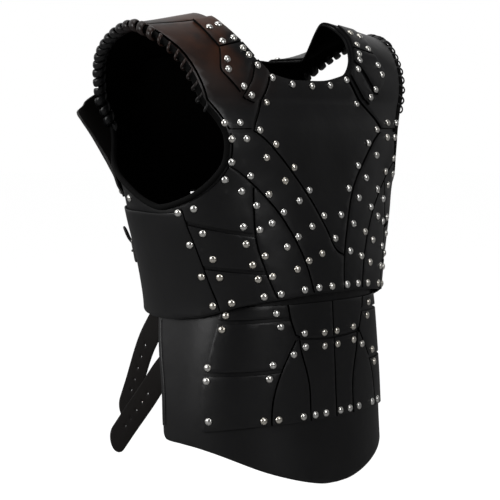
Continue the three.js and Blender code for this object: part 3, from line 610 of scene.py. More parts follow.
def place(obj, slot, *nodes):
    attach(obj, "root")
    if nodes:
        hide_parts(*nodes)


# %% Leather pieces
RIVET_SINK, RIVET_SPREAD = 0.6, 4.5


def dimples(uv, dots):
    """A rivet pulls the leather in round its head"""
    dots = np.array(dots, float).reshape(-1, 2)
    if not len(dots):
        return np.zeros(len(uv))
    gap = ((uv[:, None] - dots[None]) ** 2).sum(2).min(1)
    return -RIVET_SINK * np.exp(-gap / (2 * RIVET_SPREAD**2))


BASE_THICK, PLATE_THICK, LAYER_GAP, SEAM_GAP, RIB_GAP, EDGE_INSET = 2.5, 3.0, 0.4, 2.6, 5.0, 2.0
LEATHER = (black_grain, flesh_side, cut_edge)


def leather(name, sheets, form, out, thick, dots=(), node=None, materials=LEATHER, slot="black_leather"):
    """A piece of one or more flat sheets; out is the distance of its outer face from the base"""
    points, faces = [], []
    for sheet in sheets:
        uv, corners = trimmed(*sheet)
        far = out(uv) if callable(out) else np.full(len(uv), out)
        faces.append(corners + sum(map(len, points)))
        points.append(lay(form, uv, far + dimples(uv, dots)))
    obj = new_object(name, np.concatenate(points), np.concatenate(faces).tolist(), materials)
    if len(sheets) > 1:
        in_edit((bpy.ops.mesh.remove_doubles, {"threshold": 0.2 * MM}))
    thicken(obj, thick)
    place(obj, slot, node or name)
    return obj


def on_layer(layer):
    """How far the outer face of a plate of this layer is from the base"""
    return LAYER_GAP + PLATE_THICK + layer * (PLATE_THICK + LAYER_GAP)


# %% [markdown]
# The pattern. Columns: turn in degrees, and down as a share of the drop of its section. A negative
# share is above the shoulders, on the part that leans back to the ridge.

# %% Edges of the base
RIDGE_SHARE = -RIDGE / UPPER_DROP
UPPER_HEM = [
    (0, 0.896), (15, 0.897), (28, 0.906), (37, 0.913), (51, 0.93), (60, 0.948), (70, 0.966), (80, 0.975),
    (90, 0.982), (112, 0.982), (128, 0.971), (150, 0.962), (180, 0.96),
]
NECK_FRONT = [
    (0, 0.208), (7, 0.203), (13, 0.187), (16, 0.173), (19.3, 0.125), (21.6, 0.059), (23.1, 0.007),
    (23.6, -0.061), (25.3, RIDGE_SHARE),
]
NECK_BACK = [
    (180, 0.123), (168, 0.121), (160, 0.115), (156.6, 0.09), (156.2, 0), (156, -0.1), (154.7, RIDGE_SHARE),
]
ARM_FRONT = [
    (45.5, RIDGE_SHARE), (45.2, -0.072), (43.6, 0.01), (41.6, 0.075), (40, 0.14), (38.6, 0.2), (37.2, 0.265),
    (36.6, 0.32), (37, 0.378), (38.8, 0.428), (41.6, 0.474), (46, 0.512), (51.5, 0.545), (59, 0.578),
    (67.5, 0.601), (75, 0.614), (82, 0.619), (90, 0.608),
]
ARM_BACK = [
    (90, 0.608), (98, 0.589), (106, 0.563), (115, 0.535), (123, 0.51), (132, 0.47), (139.5, 0.42),
    (143.5, 0.36), (145, 0.3), (144, 0.22), (141, 0.13), (138, 0.05), (135.4, -0.07), (134.5, RIDGE_SHARE),
]
SLIT_HALF, SLIT_TOP = 5, 0.58
hem, neck_front, neck_back = upper(UPPER_HEM), upper(NECK_FRONT), upper(NECK_BACK)
arm_front, arm_back = upper(ARM_FRONT), upper(ARM_BACK)
OVER = 40
SIDE = 90 * MM_PER_DEGREE
TOP, DEEP = RIDGE + OVER, -UPPER_DROP - OVER


def box_ring(left, right, low, high):
    return np.array([(left, low), (right, low), (right, high), (left, high)], float)


def over_top(line):
    """A cut from a line of the pattern up and out over the top of the sheet"""
    return joined(line, [(line[-1, 0], TOP), (line[0, 0], TOP)])


# %% [markdown]
# The base of the upper section is one shell. It is cut as a front and a back that meet under the arms
# and on the ridge of the shoulders, and there the points of both are welded.

# %% Upper base
hem_front = joined(flipped(hem), hem[1:])
neck_ring = joined(flipped(neck_front), neck_front[1:])
arm_ring = joined([(arm_front[0, 0], TOP)], arm_front, [(SIDE + OVER, arm_front[-1, 1]), (SIDE + OVER, TOP)])
front = cut_sheet(
    box_ring(-SIDE, SIDE, -UPPER_DROP, RIDGE),
    [
        joined([(-SIDE - OVER, DEEP), (SIDE + OVER, DEEP), (SIDE + OVER, hem[0, 1] - 35)], hem_front[::-1]),
        over_top(neck_ring),
        *both(arm_ring),
    ],
)
hem_back = joined(hem, flipped(hem, 180)[1:])
nape = joined(neck_back[::-1], flipped(neck_back[::-1], 180)[1:])
behind_ring = joined([(SIDE - OVER, TOP), (SIDE - OVER, arm_back[0, 1])], arm_back, [(arm_back[-1, 0], TOP)])
slit = box_ring((180 - SLIT_HALF) * MM_PER_DEGREE, (180 + SLIT_HALF) * MM_PER_DEGREE, DEEP, -SLIT_TOP * UPPER_DROP)
back = cut_sheet(
    box_ring(SIDE, 3 * SIDE, -UPPER_DROP, RIDGE),
    [
        joined([(-OVER, DEEP), (4 * SIDE, DEEP)], hem_back[::-1]),
        over_top(nape),
        *both(behind_ring, 180),
        slit,
    ],
)
upper_base = leather("upper_base_leather", [front, back], UPPER_FORM, 0, BASE_THICK, node="upper_base")
print("upper base", len(upper_base.data.polygons), "faces")

# %% [markdown]
# Rivets hold every plate. They stand in rows beside the seams, so they are placed as a maker marks them
# out: along a seam, a fixed distance to one side, at chosen shares of its length. The places are needed
# before the leather is cut, because each head pulls a small dimple.


# %% Marking out
def way_along(line):
    """How far along a line each of its points is"""
    return np.concatenate([[0], np.cumsum(np.linalg.norm(np.diff(line, axis=0), axis=1))])


def sample(rows, way, at):
    """Rows between those that stand at the lengths in way"""
    return np.stack([np.interp(at, way, column) for column in rows.T], -1)


def marks(line, aside, *shares):
    """Places beside a line, at shares of its length; aside is to the left of the way it runs"""
    way = way_along(line)
    return sample(moved(line, aside), way, np.array(shares) * way[-1])


def mark(turn, down, drop=UPPER_DROP):
    return np.array([(turn * MM_PER_DEGREE, -down * drop)])


def on_both_sides(spots):
    return np.concatenate([spots, spots * (-1, 1)])


# %% [markdown]
# Seams of the chest. The centre plate ends in a long V. A strip lies on each side of it, then a second
# strip, then three ribs that reach the side. The left side of the V runs on to the hem.

# %% Chest seams
V_TOP = [
    (14.6, 0.16), (18.9, 0.2475), (22.1, 0.292), (26.5, 0.34), (28.5, 0.366), (25.2, 0.397),
    (22.3, 0.4355), (18.4, 0.488), (14.4, 0.541),
]
V_RIGHT = [*V_TOP, (9.6, 0.605), (4.6, 0.685), (0.4, 0.757), (-4.6, 0.782)]
V_LEFT = [*V_TOP, (10.9, 0.605), (7.9, 0.685), (5.4, 0.757), (3.8, 0.82), (2.4, 0.93)]
SHOULDER_FOOT = [(28.5, 0.366), (34, 0.366), (42, 0.366)]
SHOULDER_HEAD = [(20, -0.07), (24.6, -0.073), (34, -0.08), (41, -0.098), (50, -0.12)]
STRIP_SEAM = [
    (46, 0.45), (41.1, 0.476), (37.7, 0.501), (35, 0.529), (30.1, 0.582), (25.6, 0.634), (22, 0.693),
    (19.4, 0.749), (17.2, 0.811), (15.2, 0.91),
]
RIB_SEAM = [
    (34.2, 0.54), (34.9, 0.5675), (36.1, 0.638), (37.1, 0.698), (37.4, 0.746), (36.5, 0.807),
    (35.2, 0.858), (33.5, 0.9), (31, 0.93),
]
RIB_GAP_TOP = [(67, 0.655), (61, 0.664), (53, 0.676), (37, 0.7)]
RIB_GAP_LOW = [(65, 0.8), (53, 0.808), (36.6, 0.82)]
WING_FRONT = [
    (66.9, 0.58), (66.5, 0.615), (65.6, 0.663), (64.5, 0.718), (63.6, 0.785), (62.3, 0.859),
    (60.6, 0.912), (59.6, 0.96),
]
RIVET_BESIDE = 6.0
v_right, strip_seam, rib_seam, wing_seam = upper(V_RIGHT), upper(STRIP_SEAM), upper(RIB_SEAM), upper(WING_FRONT)
v_left, foot_gap = upper(V_LEFT), upper(SHOULDER_FOOT)
chest_marks = np.concatenate([
    on_both_sides(np.concatenate([
        marks(v_right, -RIVET_BESIDE, 0.16, 0.305, 0.41, 0.53, 0.65, 0.78),
        marks(v_right, 15, 0.43, 0.55, 0.655),
        marks(v_left, 10.5, 0.69, 0.8),
        marks(foot_gap, 9, 0.24, 0.61),
        marks(foot_gap, -9.5, 0.26, 0.63),
        marks(strip_seam, -RIVET_BESIDE, 0.09, 0.2, 0.34, 0.47, 0.63, 0.78),
        marks(strip_seam, 15.5, 0.34, 0.48, 0.65, 0.8),
        marks(rib_seam, -RIVET_BESIDE, 0.35, 0.57, 0.74),
        marks(rib_seam, 13.5, 0.06, 0.34, 0.47, 0.62, 0.73),
        marks(wing_seam, -19, 0.1, 0.31, 0.52, 0.68),
        marks(hem, 7.5, *(turn / 181 for turn in (5, 12.5, 20, 31.5, 39, 53.5))),
        marks(neck_front, -6.5, 0.12, 0.24),
        mark(44.2, 0.519),
    ])),
    mark(0, 0.723),
    marks(neck_front, -6.5, 0.0),
])
wing_marks = on_both_sides(np.concatenate([
    marks(wing_seam, 8, 0.11, 0.38, 0.65, 0.9), mark(154, 0.65), mark(154, 0.7), mark(154, 0.85), mark(154, 0.92),
]))
print("rivets on the chest", len(chest_marks), "on the wings", len(wing_marks))

# %% [markdown]
# All chest plates are cut from one sheet, because neighbours share their seams. The cuts are the neck,
# the armholes, the hem and the wings, and then a groove of even width along each seam.

# %% Cut the chest
near_hem = hem_front[np.abs(hem_front[:, 0]) <= SIDE]
low_edge = moved(near_hem, EDGE_INSET)
limit = low_edge[-1, 0]
neck_edge = moved(neck_ring, -EDGE_INSET)
arm_edge = moved(arm_front, -EDGE_INSET)
chest_cuts = [
    joined([(-limit, DEEP), (limit, DEEP)], low_edge[::-1]),
    over_top(neck_edge),
    *both(joined([(arm_edge[0, 0], TOP)], arm_edge, [(SIDE, TOP)])),
    *both(joined(moved(wing_seam, -SEAM_GAP / 2), [(SIDE, DEEP), (SIDE, 0)])),
    *both(joined(upper(SHOULDER_HEAD), [(SIDE, TOP), (0, TOP)])),
    groove(V_LEFT, UPPER_DROP, SEAM_GAP),
    flipped(groove(V_RIGHT, UPPER_DROP, SEAM_GAP)),
]
chest_cuts += grooves(UPPER_DROP, (STRIP_SEAM, RIB_SEAM), (SHOULDER_FOOT, RIB_GAP_TOP, RIB_GAP_LOW))
FIELD = 70 * MM_PER_DEGREE
chest = cut_sheet(box_ring(-FIELD, FIELD, -UPPER_DROP, RIDGE), chest_cuts, chest_marks)
chest_labels = sort_pieces(chest[1])
print("chest sheet", len(chest[1]), "triangles in", len(set(chest_labels)), "pieces")

# %% Lay the chest plates
# Columns: name, then turn and down of a place on the piece
CHEST_SINGLES = [
    ("chest_plate", 0, 0.43), ("chest_strip_inner_left", 20, 0.64), ("chest_strip_inner_right", -20, 0.64),
]
CHEST_PAIRS = [
    ("shoulder_plate", 34, 0.16), ("chest_strip_outer", 30, 0.693), ("side_rib_top", 45, 0.573),
    ("side_rib_middle", 50, 0.747), ("side_rib_bottom", 50, 0.867),
]


def lay_pieces(sheet, labels, form, layer, dots, singles, pairs):
    for name, turn, down in [*singles, *((f"{n}_left", t, d) for n, t, d in pairs),
                             *((f"{n}_right", -t, d) for n, t, d in pairs)]:
        piece = piece_at(sheet, labels, turn, down, form["drop"])
        made = leather(f"{name}_leather", [piece], form, on_layer(layer), PLATE_THICK, dots, name)
        print(name, len(made.data.polygons), "faces")


lay_pieces(chest, chest_labels, UPPER_FORM, 0, chest_marks, CHEST_SINGLES, CHEST_PAIRS)

# %% [markdown]
# The wings wrap from the side to the back, where a strap closes them. They are one curved plate each.

# %% Wings
WING_OUTLINE = [
    (66.5, 0.622), (75, 0.627), (82, 0.629), (98, 0.626), (112, 0.624), (126, 0.618), (145, 0.612),
    (158, 0.612), (160, 0.64), (160, 0.93), (158, 0.955), (150, 0.956), (128, 0.966), (112, 0.977),
    (90, 0.977), (80, 0.97), (70, 0.961), (59.9, 0.943), (60.9, 0.912), (62.6, 0.859), (63.9, 0.785),
    (64.8, 0.718), (65.9, 0.663), (66.5, 0.622),
]
wing = upper(WING_OUTLINE)[:-1]
for side, ring in (("left", wing), ("right", flipped(wing))):
    sheet = cut_sheet(ring, (), wing_marks[(wing_marks[:, 0] > 0) == (side == "left")])
    leather(f"side_wing_{side}_leather", [sheet], UPPER_FORM, on_layer(0), PLATE_THICK, wing_marks, f"side_wing_{side}")
    print("wing", side, len(sheet[1]))

# %% [markdown]
# Beside the neck lies a second layer: a strip over the shoulder, a strip in front, and a short band
# that turns in under the neck hole. They are cut from one blade-shaped sheet.

# %% Neck pieces
NECK_STRIP_OUTER = [
    (31, -0.075), (31.1, -0.034), (30.9, 0.039), (30.1, 0.081), (30.8, 0.1125), (31.9, 0.164),
    (30.6, 0.19), (27.9, 0.229), (25.2, 0.27),
]
NECK_STRIP_INNER = [
    (23.4, 0.282), (20.1, 0.238), (16.9, 0.178), (20.3, 0.125), (22.8, 0.059), (24.2, 0.007),
    (24.9, -0.061), (25.1, -0.075),
]
BAND_GAP_TOP = [(21.4, 0.068), (25, 0.075), (29.3, 0.082), (33, 0.088)]
BAND_GAP_LOW = [(18.6, 0.115), (21.6, 0.155), (24, 0.205), (27.6, 0.262)]
NECK_PAIRS = [("neck_strip_top", 28, -0.027), ("neck_strip_front", 27, 0.147), ("neck_band", 20.5, 0.208)]
neck_outer = upper(NECK_STRIP_OUTER)
neck_marks = on_both_sides(np.concatenate([
    marks(neck_front, -8.5, 0.33, 0.4, 0.45, 0.535, 0.665),
    marks(neck_outer, -5.5, 0.19, 0.395, 0.57, 0.69, 0.88),
    marks(upper(BAND_GAP_LOW), -8.5, 0.86),
]))
blade = upper([*NECK_STRIP_OUTER, *NECK_STRIP_INNER, NECK_STRIP_OUTER[0]])[:-1]
blade_cuts = [groove(BAND_GAP_TOP, UPPER_DROP, SEAM_GAP, 2), groove(BAND_GAP_LOW, UPPER_DROP, RIB_GAP, 2)]
for side in (1, -1):
    ring, cuts = (blade, blade_cuts) if side > 0 else (flipped(blade), [flipped(cut) for cut in blade_cuts])
    sheet = cut_sheet(ring, cuts, neck_marks[neck_marks[:, 0] * side > 0], 5)
    names = [(f"{name}_{'left' if side > 0 else 'right'}", turn * side, down) for name, turn, down in NECK_PAIRS]
    lay_pieces(sheet, sort_pieces(sheet[1]), UPPER_FORM, 1, neck_marks, names, [])

# %% [markdown]
# The yoke plate covers the strap behind the shoulder. It folds over the ridge, so its front and its
# back are cut apart and welded there, like the base under it.

# %% Yoke
YOKE_FRONT = [
    (25.6, RIDGE_SHARE), (25.3, -0.085), (34, -0.089), (41, -0.107), (44, -0.112), (44.4, RIDGE_SHARE),
]
YOKE_BACK = [
    (135.6, RIDGE_SHARE), (136.6, -0.07), (139.2, 0.05), (141.6, 0.11), (155.1, 0.11), (155, 0), (154.9, -0.1),
    (154.4, RIDGE_SHARE),
]
yoke_marks = on_both_sides(np.concatenate([mark(143.6, 0.085), mark(153, 0.085)]))
yoke_front, yoke_back = upper(YOKE_FRONT), upper(YOKE_BACK)
for side in ("left", "right"):
    turned = (lambda ring: ring) if side == "left" else flipped
    sheets = [cut_sheet(turned(yoke_front)), cut_sheet(turned(yoke_back))]
    leather(f"yoke_plate_{side}_leather", sheets, UPPER_FORM, on_layer(0), PLATE_THICK, (), f"yoke_plate_{side}")
    print("yoke", side, sum(len(faces) for _, faces in sheets))

# %% [markdown]
# The back plate stands over the shoulder blades. Its foot is riveted to the base, and from there it
# flares until its top edge is free. Each side of the foot stays close to the body, so the flare depends
# on the turn as well as on the height.

# %% Back plate
PLATE_SIDE = [
    (128, 0.588), (128, 0.54), (131, 0.48), (134, 0.43), (136.3, 0.36), (137, 0.31), (139.5, 0.288),
    (143.5, 0.275), (148, 0.252), (155, 0.226), (166, 0.21), (180, 0.203),
]
PLATE_FOOT_SHARE, PLATE_RIM_SHARE = 0.588, 0.27
FLARE, FLARE_FOOT, FOOT_BEND, FLARE_START, FLARE_FULL, FLARE_POWER = 31, 4.4, 17, 129, 144, 0.6


def flared(uv):
    foot, rim = -PLATE_FOOT_SHARE * UPPER_DROP, -PLATE_RIM_SHARE * UPPER_DROP
    rise = np.clip((uv[:, 1] - foot) / (rim - foot), 0, 1.2) ** FLARE_POWER
    turn = uv[:, 0] / MM_PER_DEGREE
    behind = np.where(turn > 180, 360 - turn, turn)
    clear = LAYER_GAP + (FLARE_FOOT - LAYER_GAP) * smoothstep(uv[:, 1], foot, foot + FOOT_BEND)
    return clear + FLARE * rise * smoothstep(behind, FLARE_START, FLARE_FULL) + PLATE_THICK


plate_side = upper(PLATE_SIDE)
back_marks = np.concatenate([mark(turn, 0.566) for turn in (133, 147, 161, 173, 187, 199, 213, 227)])
back_sheet = cut_sheet(joined(plate_side, flipped(plate_side, 180)[1:]), (), back_marks)
# The back plate's cut rim gets the pale edge finish, a painted highlight on the rim.
back_plate = leather("back_plate_leather", [back_sheet], UPPER_FORM, flared, PLATE_THICK, back_marks, "back_plate",
                     (black_grain, strap_grain, edge_highlight))
print("back plate", len(back_plate.data.polygons))

# %% [markdown]
# The lower section is a second shell, open at the back and narrower at the waist, so the upper section
# hangs over it. Its hem is scooped, low in front and high at the sides.

# %% Lower base
LOWER_HEM = [
    (0, 0.985), (8, 0.983), (16, 0.9755), (26, 0.962), (37, 0.944), (51, 0.918), (60, 0.905), (70, 0.896),
    (80, 0.892), (91, 0.889), (93.4, 0.88),
]
LOWER_BACK = [
    (94, 0.86), (95.2, 0.81), (97.5, 0.766), (101, 0.72), (104.5, 0.67), (106.5, 0.63), (106.5, 0.575),
]
lower_half = lower([*LOWER_HEM, *LOWER_BACK])
lower_sheet = cut_sheet(joined(flipped(lower_half), lower_half[1:]))
# The lower base's cut edge gets the pale edge finish, a painted highlight along the edge.
lower_base = leather("lower_base_leather", [lower_sheet], LOWER_FORM, 0, BASE_THICK, node="lower_base",
                     materials=(black_grain, flesh_side, edge_highlight))
print("lower base", len(lower_base.data.polygons))

# %% [markdown]
# The plates of the abdomen are cut as those of the chest are: one sheet, an outline, and a groove along
# each seam. A centre seam parts left from right.

# %% Abdomen
ABDOMEN_SIDE = [(26.6, 0.59), (25, 0.62), (24.3, 0.632), (22.4, 0.655), (20.6, 0.676)]
ABDOMEN_WAIST = [(21, 0.674), (10, 0.678), (0, 0.68)]
ABDOMEN_OUTER = [
    (20.4, 0.668), (22.8, 0.688), (25.2, 0.707), (28.5, 0.737), (31.2, 0.773), (32.6, 0.808), (33.2, 0.86),
]
ABDOMEN_INNER = [(19.6, 0.67), (19, 0.69), (18.2, 0.708), (15.8, 0.743), (14, 0.782), (13.4, 0.86)]
CENTRE_SEAM = [(2.2, 0.58), (2.2, 0.87)]
FLANK_TOP_GAP = [(70, 0.634), (53, 0.634), (29, 0.631), (24.4, 0.6305)]
FLANK_LOW_GAP = [(70, 0.742), (61, 0.7415), (35, 0.738), (28.5, 0.737)]
ABDOMEN_EDGE = [
    (0, 0.849), (30, 0.848), (47, 0.851), (65.2, 0.86), (65.5, 0.766), (62.6, 0.706), (60.2, 0.66),
    (58.5, 0.62), (58.4, 0.602),
]
top_gap, low_gap, waist = lower(FLANK_TOP_GAP), lower(FLANK_LOW_GAP), lower(ABDOMEN_WAIST)
abdomen_marks = on_both_sides(np.concatenate([
    marks(top_gap, -8, 0.32, 0.84), marks(top_gap, 8.5, 0.29, 0.89),
    marks(low_gap, -8, 0.17, 0.9), marks(low_gap, 8, 0.16, 0.86),
    marks(waist, -7, 0.2, 0.79), marks(waist, 9.5, 0.24, 0.79),
    marks(lower(ABDOMEN_OUTER), -RIVET_BESIDE, 0.18),
    *(mark(turn, 0.8375, LOWER_DROP) for turn in (61.5, 36.5, 29.8, 17.6, 11, 4.6)),
]))
abdomen_half = lower(ABDOMEN_EDGE)
abdomen_cuts = [groove(CENTRE_SEAM, LOWER_DROP, SEAM_GAP)]
abdomen_cuts += grooves(
    LOWER_DROP, (ABDOMEN_SIDE, ABDOMEN_WAIST, ABDOMEN_OUTER, ABDOMEN_INNER), (FLANK_TOP_GAP, FLANK_LOW_GAP),
)
abdomen = cut_sheet(joined(flipped(abdomen_half), abdomen_half[1:]), abdomen_cuts, abdomen_marks)
ABDOMEN_SINGLES = [
    ("abdomen_top_left", 10, 0.647), ("abdomen_top_right", -10, 0.647),
    ("abdomen_inner_left", 7, 0.759), ("abdomen_inner_right", -7, 0.759),
]
ABDOMEN_PAIRS = [
    ("abdomen_outer", 23, 0.793), ("flank_top", 40, 0.6155), ("flank_middle", 45, 0.69), ("flank_bottom", 45, 0.793),
]
lay_pieces(abdomen, sort_pieces(abdomen[1]), LOWER_FORM, 0, abdomen_marks, ABDOMEN_SINGLES, ABDOMEN_PAIRS)

# %% [markdown]
# A rivet is a low dome. One is made from a ball: its lower half is cut away and the rest
# is pressed flat. The others are copies, set square to the leather and turned a little, as hammered
# rivets are.

# %% One rivet
RIVET_RADIUS, RIVET_HEIGHT, RIVET_CUT, RIVET_BED, RIVET_TILT = 4.7, 2.9, 0.5, 0.55, 0.04
bpy.ops.object.select_all(action="DESELECT")
bpy.ops.mesh.primitive_uv_sphere_add(segments=14, ring_count=8, radius=RIVET_RADIUS * MM)
rivet = bpy.context.object
in_edit(
    (bpy.ops.mesh.bisect, {"plane_co": (0, 0, RIVET_CUT * MM), "plane_no": (0, 0, 1), "clear_inner": True}),
    (bpy.ops.transform.resize, {"value": (1, 1, RIVET_HEIGHT / RIVET_RADIUS)}),
)
RIVET_POINTS = np.array([v.co[:] for v in rivet.data.vertices])
RIVET_FACES = [list(p.vertices) for p in rivet.data.polygons]
bpy.data.objects.remove(rivet)
print("rivet", len(RIVET_FACES), "faces")


# %% Set the rivets
def many(name, shape, shape_faces, frames, material, slot):
    """One object of many copies of a shape; each frame is an origin and three directions"""
    points, faces = [], []
    for origin, axes in frames:
        faces += [[i + len(points) * len(shape) for i in face] for face in shape_faces]
        points.append(shape @ axes + origin)
    obj = new_object(name, np.concatenate(points), faces, [material])
    bpy.ops.object.shade_smooth_by_angle(angle=math.radians(50))
    place(obj, slot)
    return obj


def rivets(name, form, out, spots):
    """Rivet heads on leather whose outer face lies out millimetres off the base"""
    seat = out - RIVET_SINK - RIVET_BED
    here = lay(form, spots, seat)
    right = lay(form, spots + (1, 0), seat) - here
    above = lay(form, spots + (0, 1), seat) - here
    frames = []
    for k, spot in enumerate(here):
        up = np.cross(right[k], above[k])
        tilt = np.array([math.sin(7.1 * k), math.cos(4.3 * k), math.sin(2.9 * k)])
        up = up / np.linalg.norm(up) + RIVET_TILT * tilt
        up /= np.linalg.norm(up)
        side = right[k] - up * (right[k] @ up)
        side /= np.linalg.norm(side)
        frames.append((spot, np.array([side, np.cross(up, side), up])))
    return many(name, RIVET_POINTS, RIVET_FACES, frames, nickel, "nickel")


plate_face = on_layer(0)
base_marks = on_both_sides(mark(110, 0.588))
for name, form, out, spots in (
    ("rivets_chest", UPPER_FORM, plate_face, chest_marks), ("rivets_wings", UPPER_FORM, plate_face, wing_marks),
    ("rivets_neck", UPPER_FORM, on_layer(1), neck_marks), ("rivets_yoke", UPPER_FORM, plate_face, yoke_marks),
    ("rivets_base", UPPER_FORM, 0, base_marks), ("rivets_abdomen", LOWER_FORM, plate_face, abdomen_marks),
    ("rivets_back_plate", UPPER_FORM, flared(back_marks), back_marks),
):
    print(name, len(rivets(name, form, out, spots).data.polygons), "faces")

# %% [markdown]
# A thick thong is wound round each armhole edge: over the leather, through a hole, and round again. A
# plain roll fills the edge, and the thong is a flat strip that winds on it. The winding is wide and
# tight behind and on the shoulder, and small and open in front. The lowest part of the edge has the
# roll alone.


# %% Swept thongs
def swept(name, path, out, across, half_wide, half_thick, material, slot, sides=10, loop=True):
    """A soft oval section carried along a path, out is the thin way and across is the wide way"""
    count = len(path)
    angle = np.arange(sides) * 2 * math.pi / sides
    wide, thick = np.broadcast_to(half_wide, count), np.broadcast_to(half_thick, count)
    points = path[:, None] + across[:, None] * (np.cos(angle)[None] * wide[:, None])[..., None]
    points = points + out[:, None] * (np.sin(angle)[None] * thick[:, None])[..., None]
    faces = []
    for i in range(count if loop else count - 1):
        a, b = i * sides, (i + 1) % count * sides
        faces += [[a + k, a + (k + 1) % sides, b + (k + 1) % sides, b + k] for k in range(sides)]
    if not loop:
        faces += [list(range(sides))[::-1], [(count - 1) * sides + k for k in range(sides)]]
    obj = new_object(name, points.reshape(-1, 3), faces, [material])
    in_edit((bpy.ops.mesh.normals_make_consistent, {"inside": False}))
    bpy.ops.object.shade_smooth_by_angle(angle=math.radians(60))
    place(obj, slot)
    return obj


# %% Armhole edges
ROLL_RADIUS, ROLL_INSET, ROLL_POINTS, ABOVE = 3.6, 3.2, 400, 5
WIND_PACE, WIND_IN, WIND_POINTS, WOUND_SHARE = 14, 2.0, 16, 0.42
BAND_INSET, BAND_LIFT, BAND_HALF_WIDE, BAND_HALF_THICK = 4.5, 0.3, 3.2, 1.1
lace_lift = (LAYER_GAP + PLATE_THICK - BASE_THICK) / 2
lace_line = joined(moved(arm_front, ROLL_INSET)[:-1], moved(arm_back, ROLL_INSET)[:-1])
lace_line[:, 1] = np.minimum(lace_line[:, 1], RIDGE)
FRONT_END = len(arm_front) / len(lace_line)


def even(path, count):
    """A closed path with its points evenly spaced and its bends softened"""
    ring = np.concatenate([path, path[:1]])
    way = way_along(ring)
    made = sample(ring, way, np.linspace(0, way[-1], count, endpoint=False))
    for _ in range(int(count / 60)):
        made = (np.roll(made, 1, axis=0) + 2 * made + np.roll(made, -1, axis=0)) / 4
    return made, way[-1]


band_line = moved(lower(LOWER_BACK), BAND_INSET)
for side, flip in (("left", 1), ("right", -1)):
    band = band_line * (flip, 1)
    path = lay(LOWER_FORM, band, BAND_LIFT)
    rise = unit(lay(LOWER_FORM, band, ABOVE) - path)
    way = unit(np.gradient(path, axis=0))
    swept(
        f"back_edge_{side}", path, rise, unit(np.cross(way, rise)), BAND_HALF_WIDE * MM, BAND_HALF_THICK * MM,
        black_grain, "black_leather", loop=False,
    )
    spots = lace_line * (flip, 1)
    middle, length = even(lay(UPPER_FORM, spots, lace_lift), ROLL_POINTS)
    away = even(lay(UPPER_FORM, spots, lace_lift + ABOVE), ROLL_POINTS)[0] - middle
    along = unit(np.roll(middle, -1, axis=0) - np.roll(middle, 1, axis=0))
    away = unit(away - along * (away * along).sum(1)[:, None])
    to_hole = unit(np.cross(along, away)) * flip
    radius = ROLL_RADIUS * MM
    swept(f"arm_roll_{side}", middle, away, to_hole, radius, radius, cut_edge, "black_leather", 12)
    turns = round(length / MM / WIND_PACE)
    fine = turns * WIND_POINTS
    at = np.arange(fine) / fine
    share = at * len(middle)
    low = np.floor(share).astype(int) % len(middle)
    mix = (share - np.floor(share))[:, None]
    pick = lambda rows: rows[low] * (1 - mix) + rows[(low + 1) % len(rows)] * mix
    angle = 2 * math.pi * turns * at + 0.3 * np.sin(9 * 2 * math.pi * at)
    centre = pick(middle) - pick(to_hole) * WIND_IN * MM
    heavy = smoothstep(at, FRONT_END - 0.04, FRONT_END) + 1 - smoothstep(at, 0.03, 0.08)
    light_to_heavy = lambda light, full: (light + (full - light) * heavy) * MM
    wound = centre + pick(to_hole) * (np.cos(angle) * light_to_heavy(5.4, 7.2))[:, None]
    wound = wound + pick(away) * (np.sin(angle) * light_to_heavy(4.6, 5.6))[:, None]
    keep = (at < WOUND_SHARE * FRONT_END) | (at > FRONT_END + WOUND_SHARE * (1 - FRONT_END))
    order = np.roll(np.arange(fine), -int(np.argmax(~keep)))
    order = order[keep[order]]
    wound, rise, heavy = wound[order], unit((wound - centre)[order]), heavy[order]
    flow_way = unit(np.gradient(wound, axis=0))
    wide_way = unit(np.cross(flow_way, rise))
    thong = swept(
        f"arm_thong_{side}", wound, unit(np.cross(wide_way, flow_way)), wide_way, light_to_heavy(1.5, 5.2),
        light_to_heavy(1.0, 2.1), thong_leather, "lacing", loop=False,
    )
    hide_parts(f"arm_lacing_{side}")
    print("armhole", side, round(length / MM), "mm round,", turns, "turns of thong")

# %% [markdown]
# The straps are flat leather with a round end and a row of punched holes. Each is cut flat like the
# plates and laid on a curve in space. Two hang loose behind the wearer's right side. A third, at the
# back, is fastened, and its free end stands out past its buckle.

# %% Strap maker
STRAP_WIDTH, STRAP_THICK, STRAP_HOLE, HOLE_STEP, HOLE_COUNT, LAST_HOLE = 36, 2.8, 3.2, 17, 5, 45
STRAP_CROWN, STRAP_PRESS, STRAP_EDGE, STRAP_PACE = 0.5, 0.4, 0.7, 5
# Strap edges get the pale edge finish, a painted highlight along their rims.
STRAP_LEATHER = (strap_grain, flesh_side, edge_highlight)


def through(rows, count=160):
    """A smooth curve in space through a few points, with its points evenly spaced"""
    p = np.array(rows, float)
    p = np.concatenate([[2 * p[0] - p[1]], p, [2 * p[-1] - p[-2]]])
    knots = np.concatenate([[0], np.cumsum(np.sqrt(np.linalg.norm(np.diff(p, axis=0), axis=1)))])
    made = []
    for i in range(1, len(p) - 2):
        for t in np.linspace(knots[i], knots[i + 1], 60, endpoint=i == len(p) - 3):
            blend = lambda a, b, ta, tb: a * (tb - t) / (tb - ta) + b * (t - ta) / (tb - ta)
            a = [blend(p[j], p[j + 1], knots[j], knots[j + 1]) for j in (i - 1, i, i + 1)]
            b = [blend(a[j], a[j + 1], knots[i - 1 + j], knots[i + 1 + j]) for j in (0, 1)]
            made.append(blend(b[0], b[1], knots[i], knots[i + 1]))
    made = np.array(made)
    way = way_along(made)
    return sample(made, way, np.linspace(0, way[-1], count)), way[-1]


def circle(x, y, radius, count=16):
    angle = np.arange(count) * 2 * math.pi / count
    return np.stack([x + np.cos(angle) * radius, y + np.sin(angle) * radius], -1)


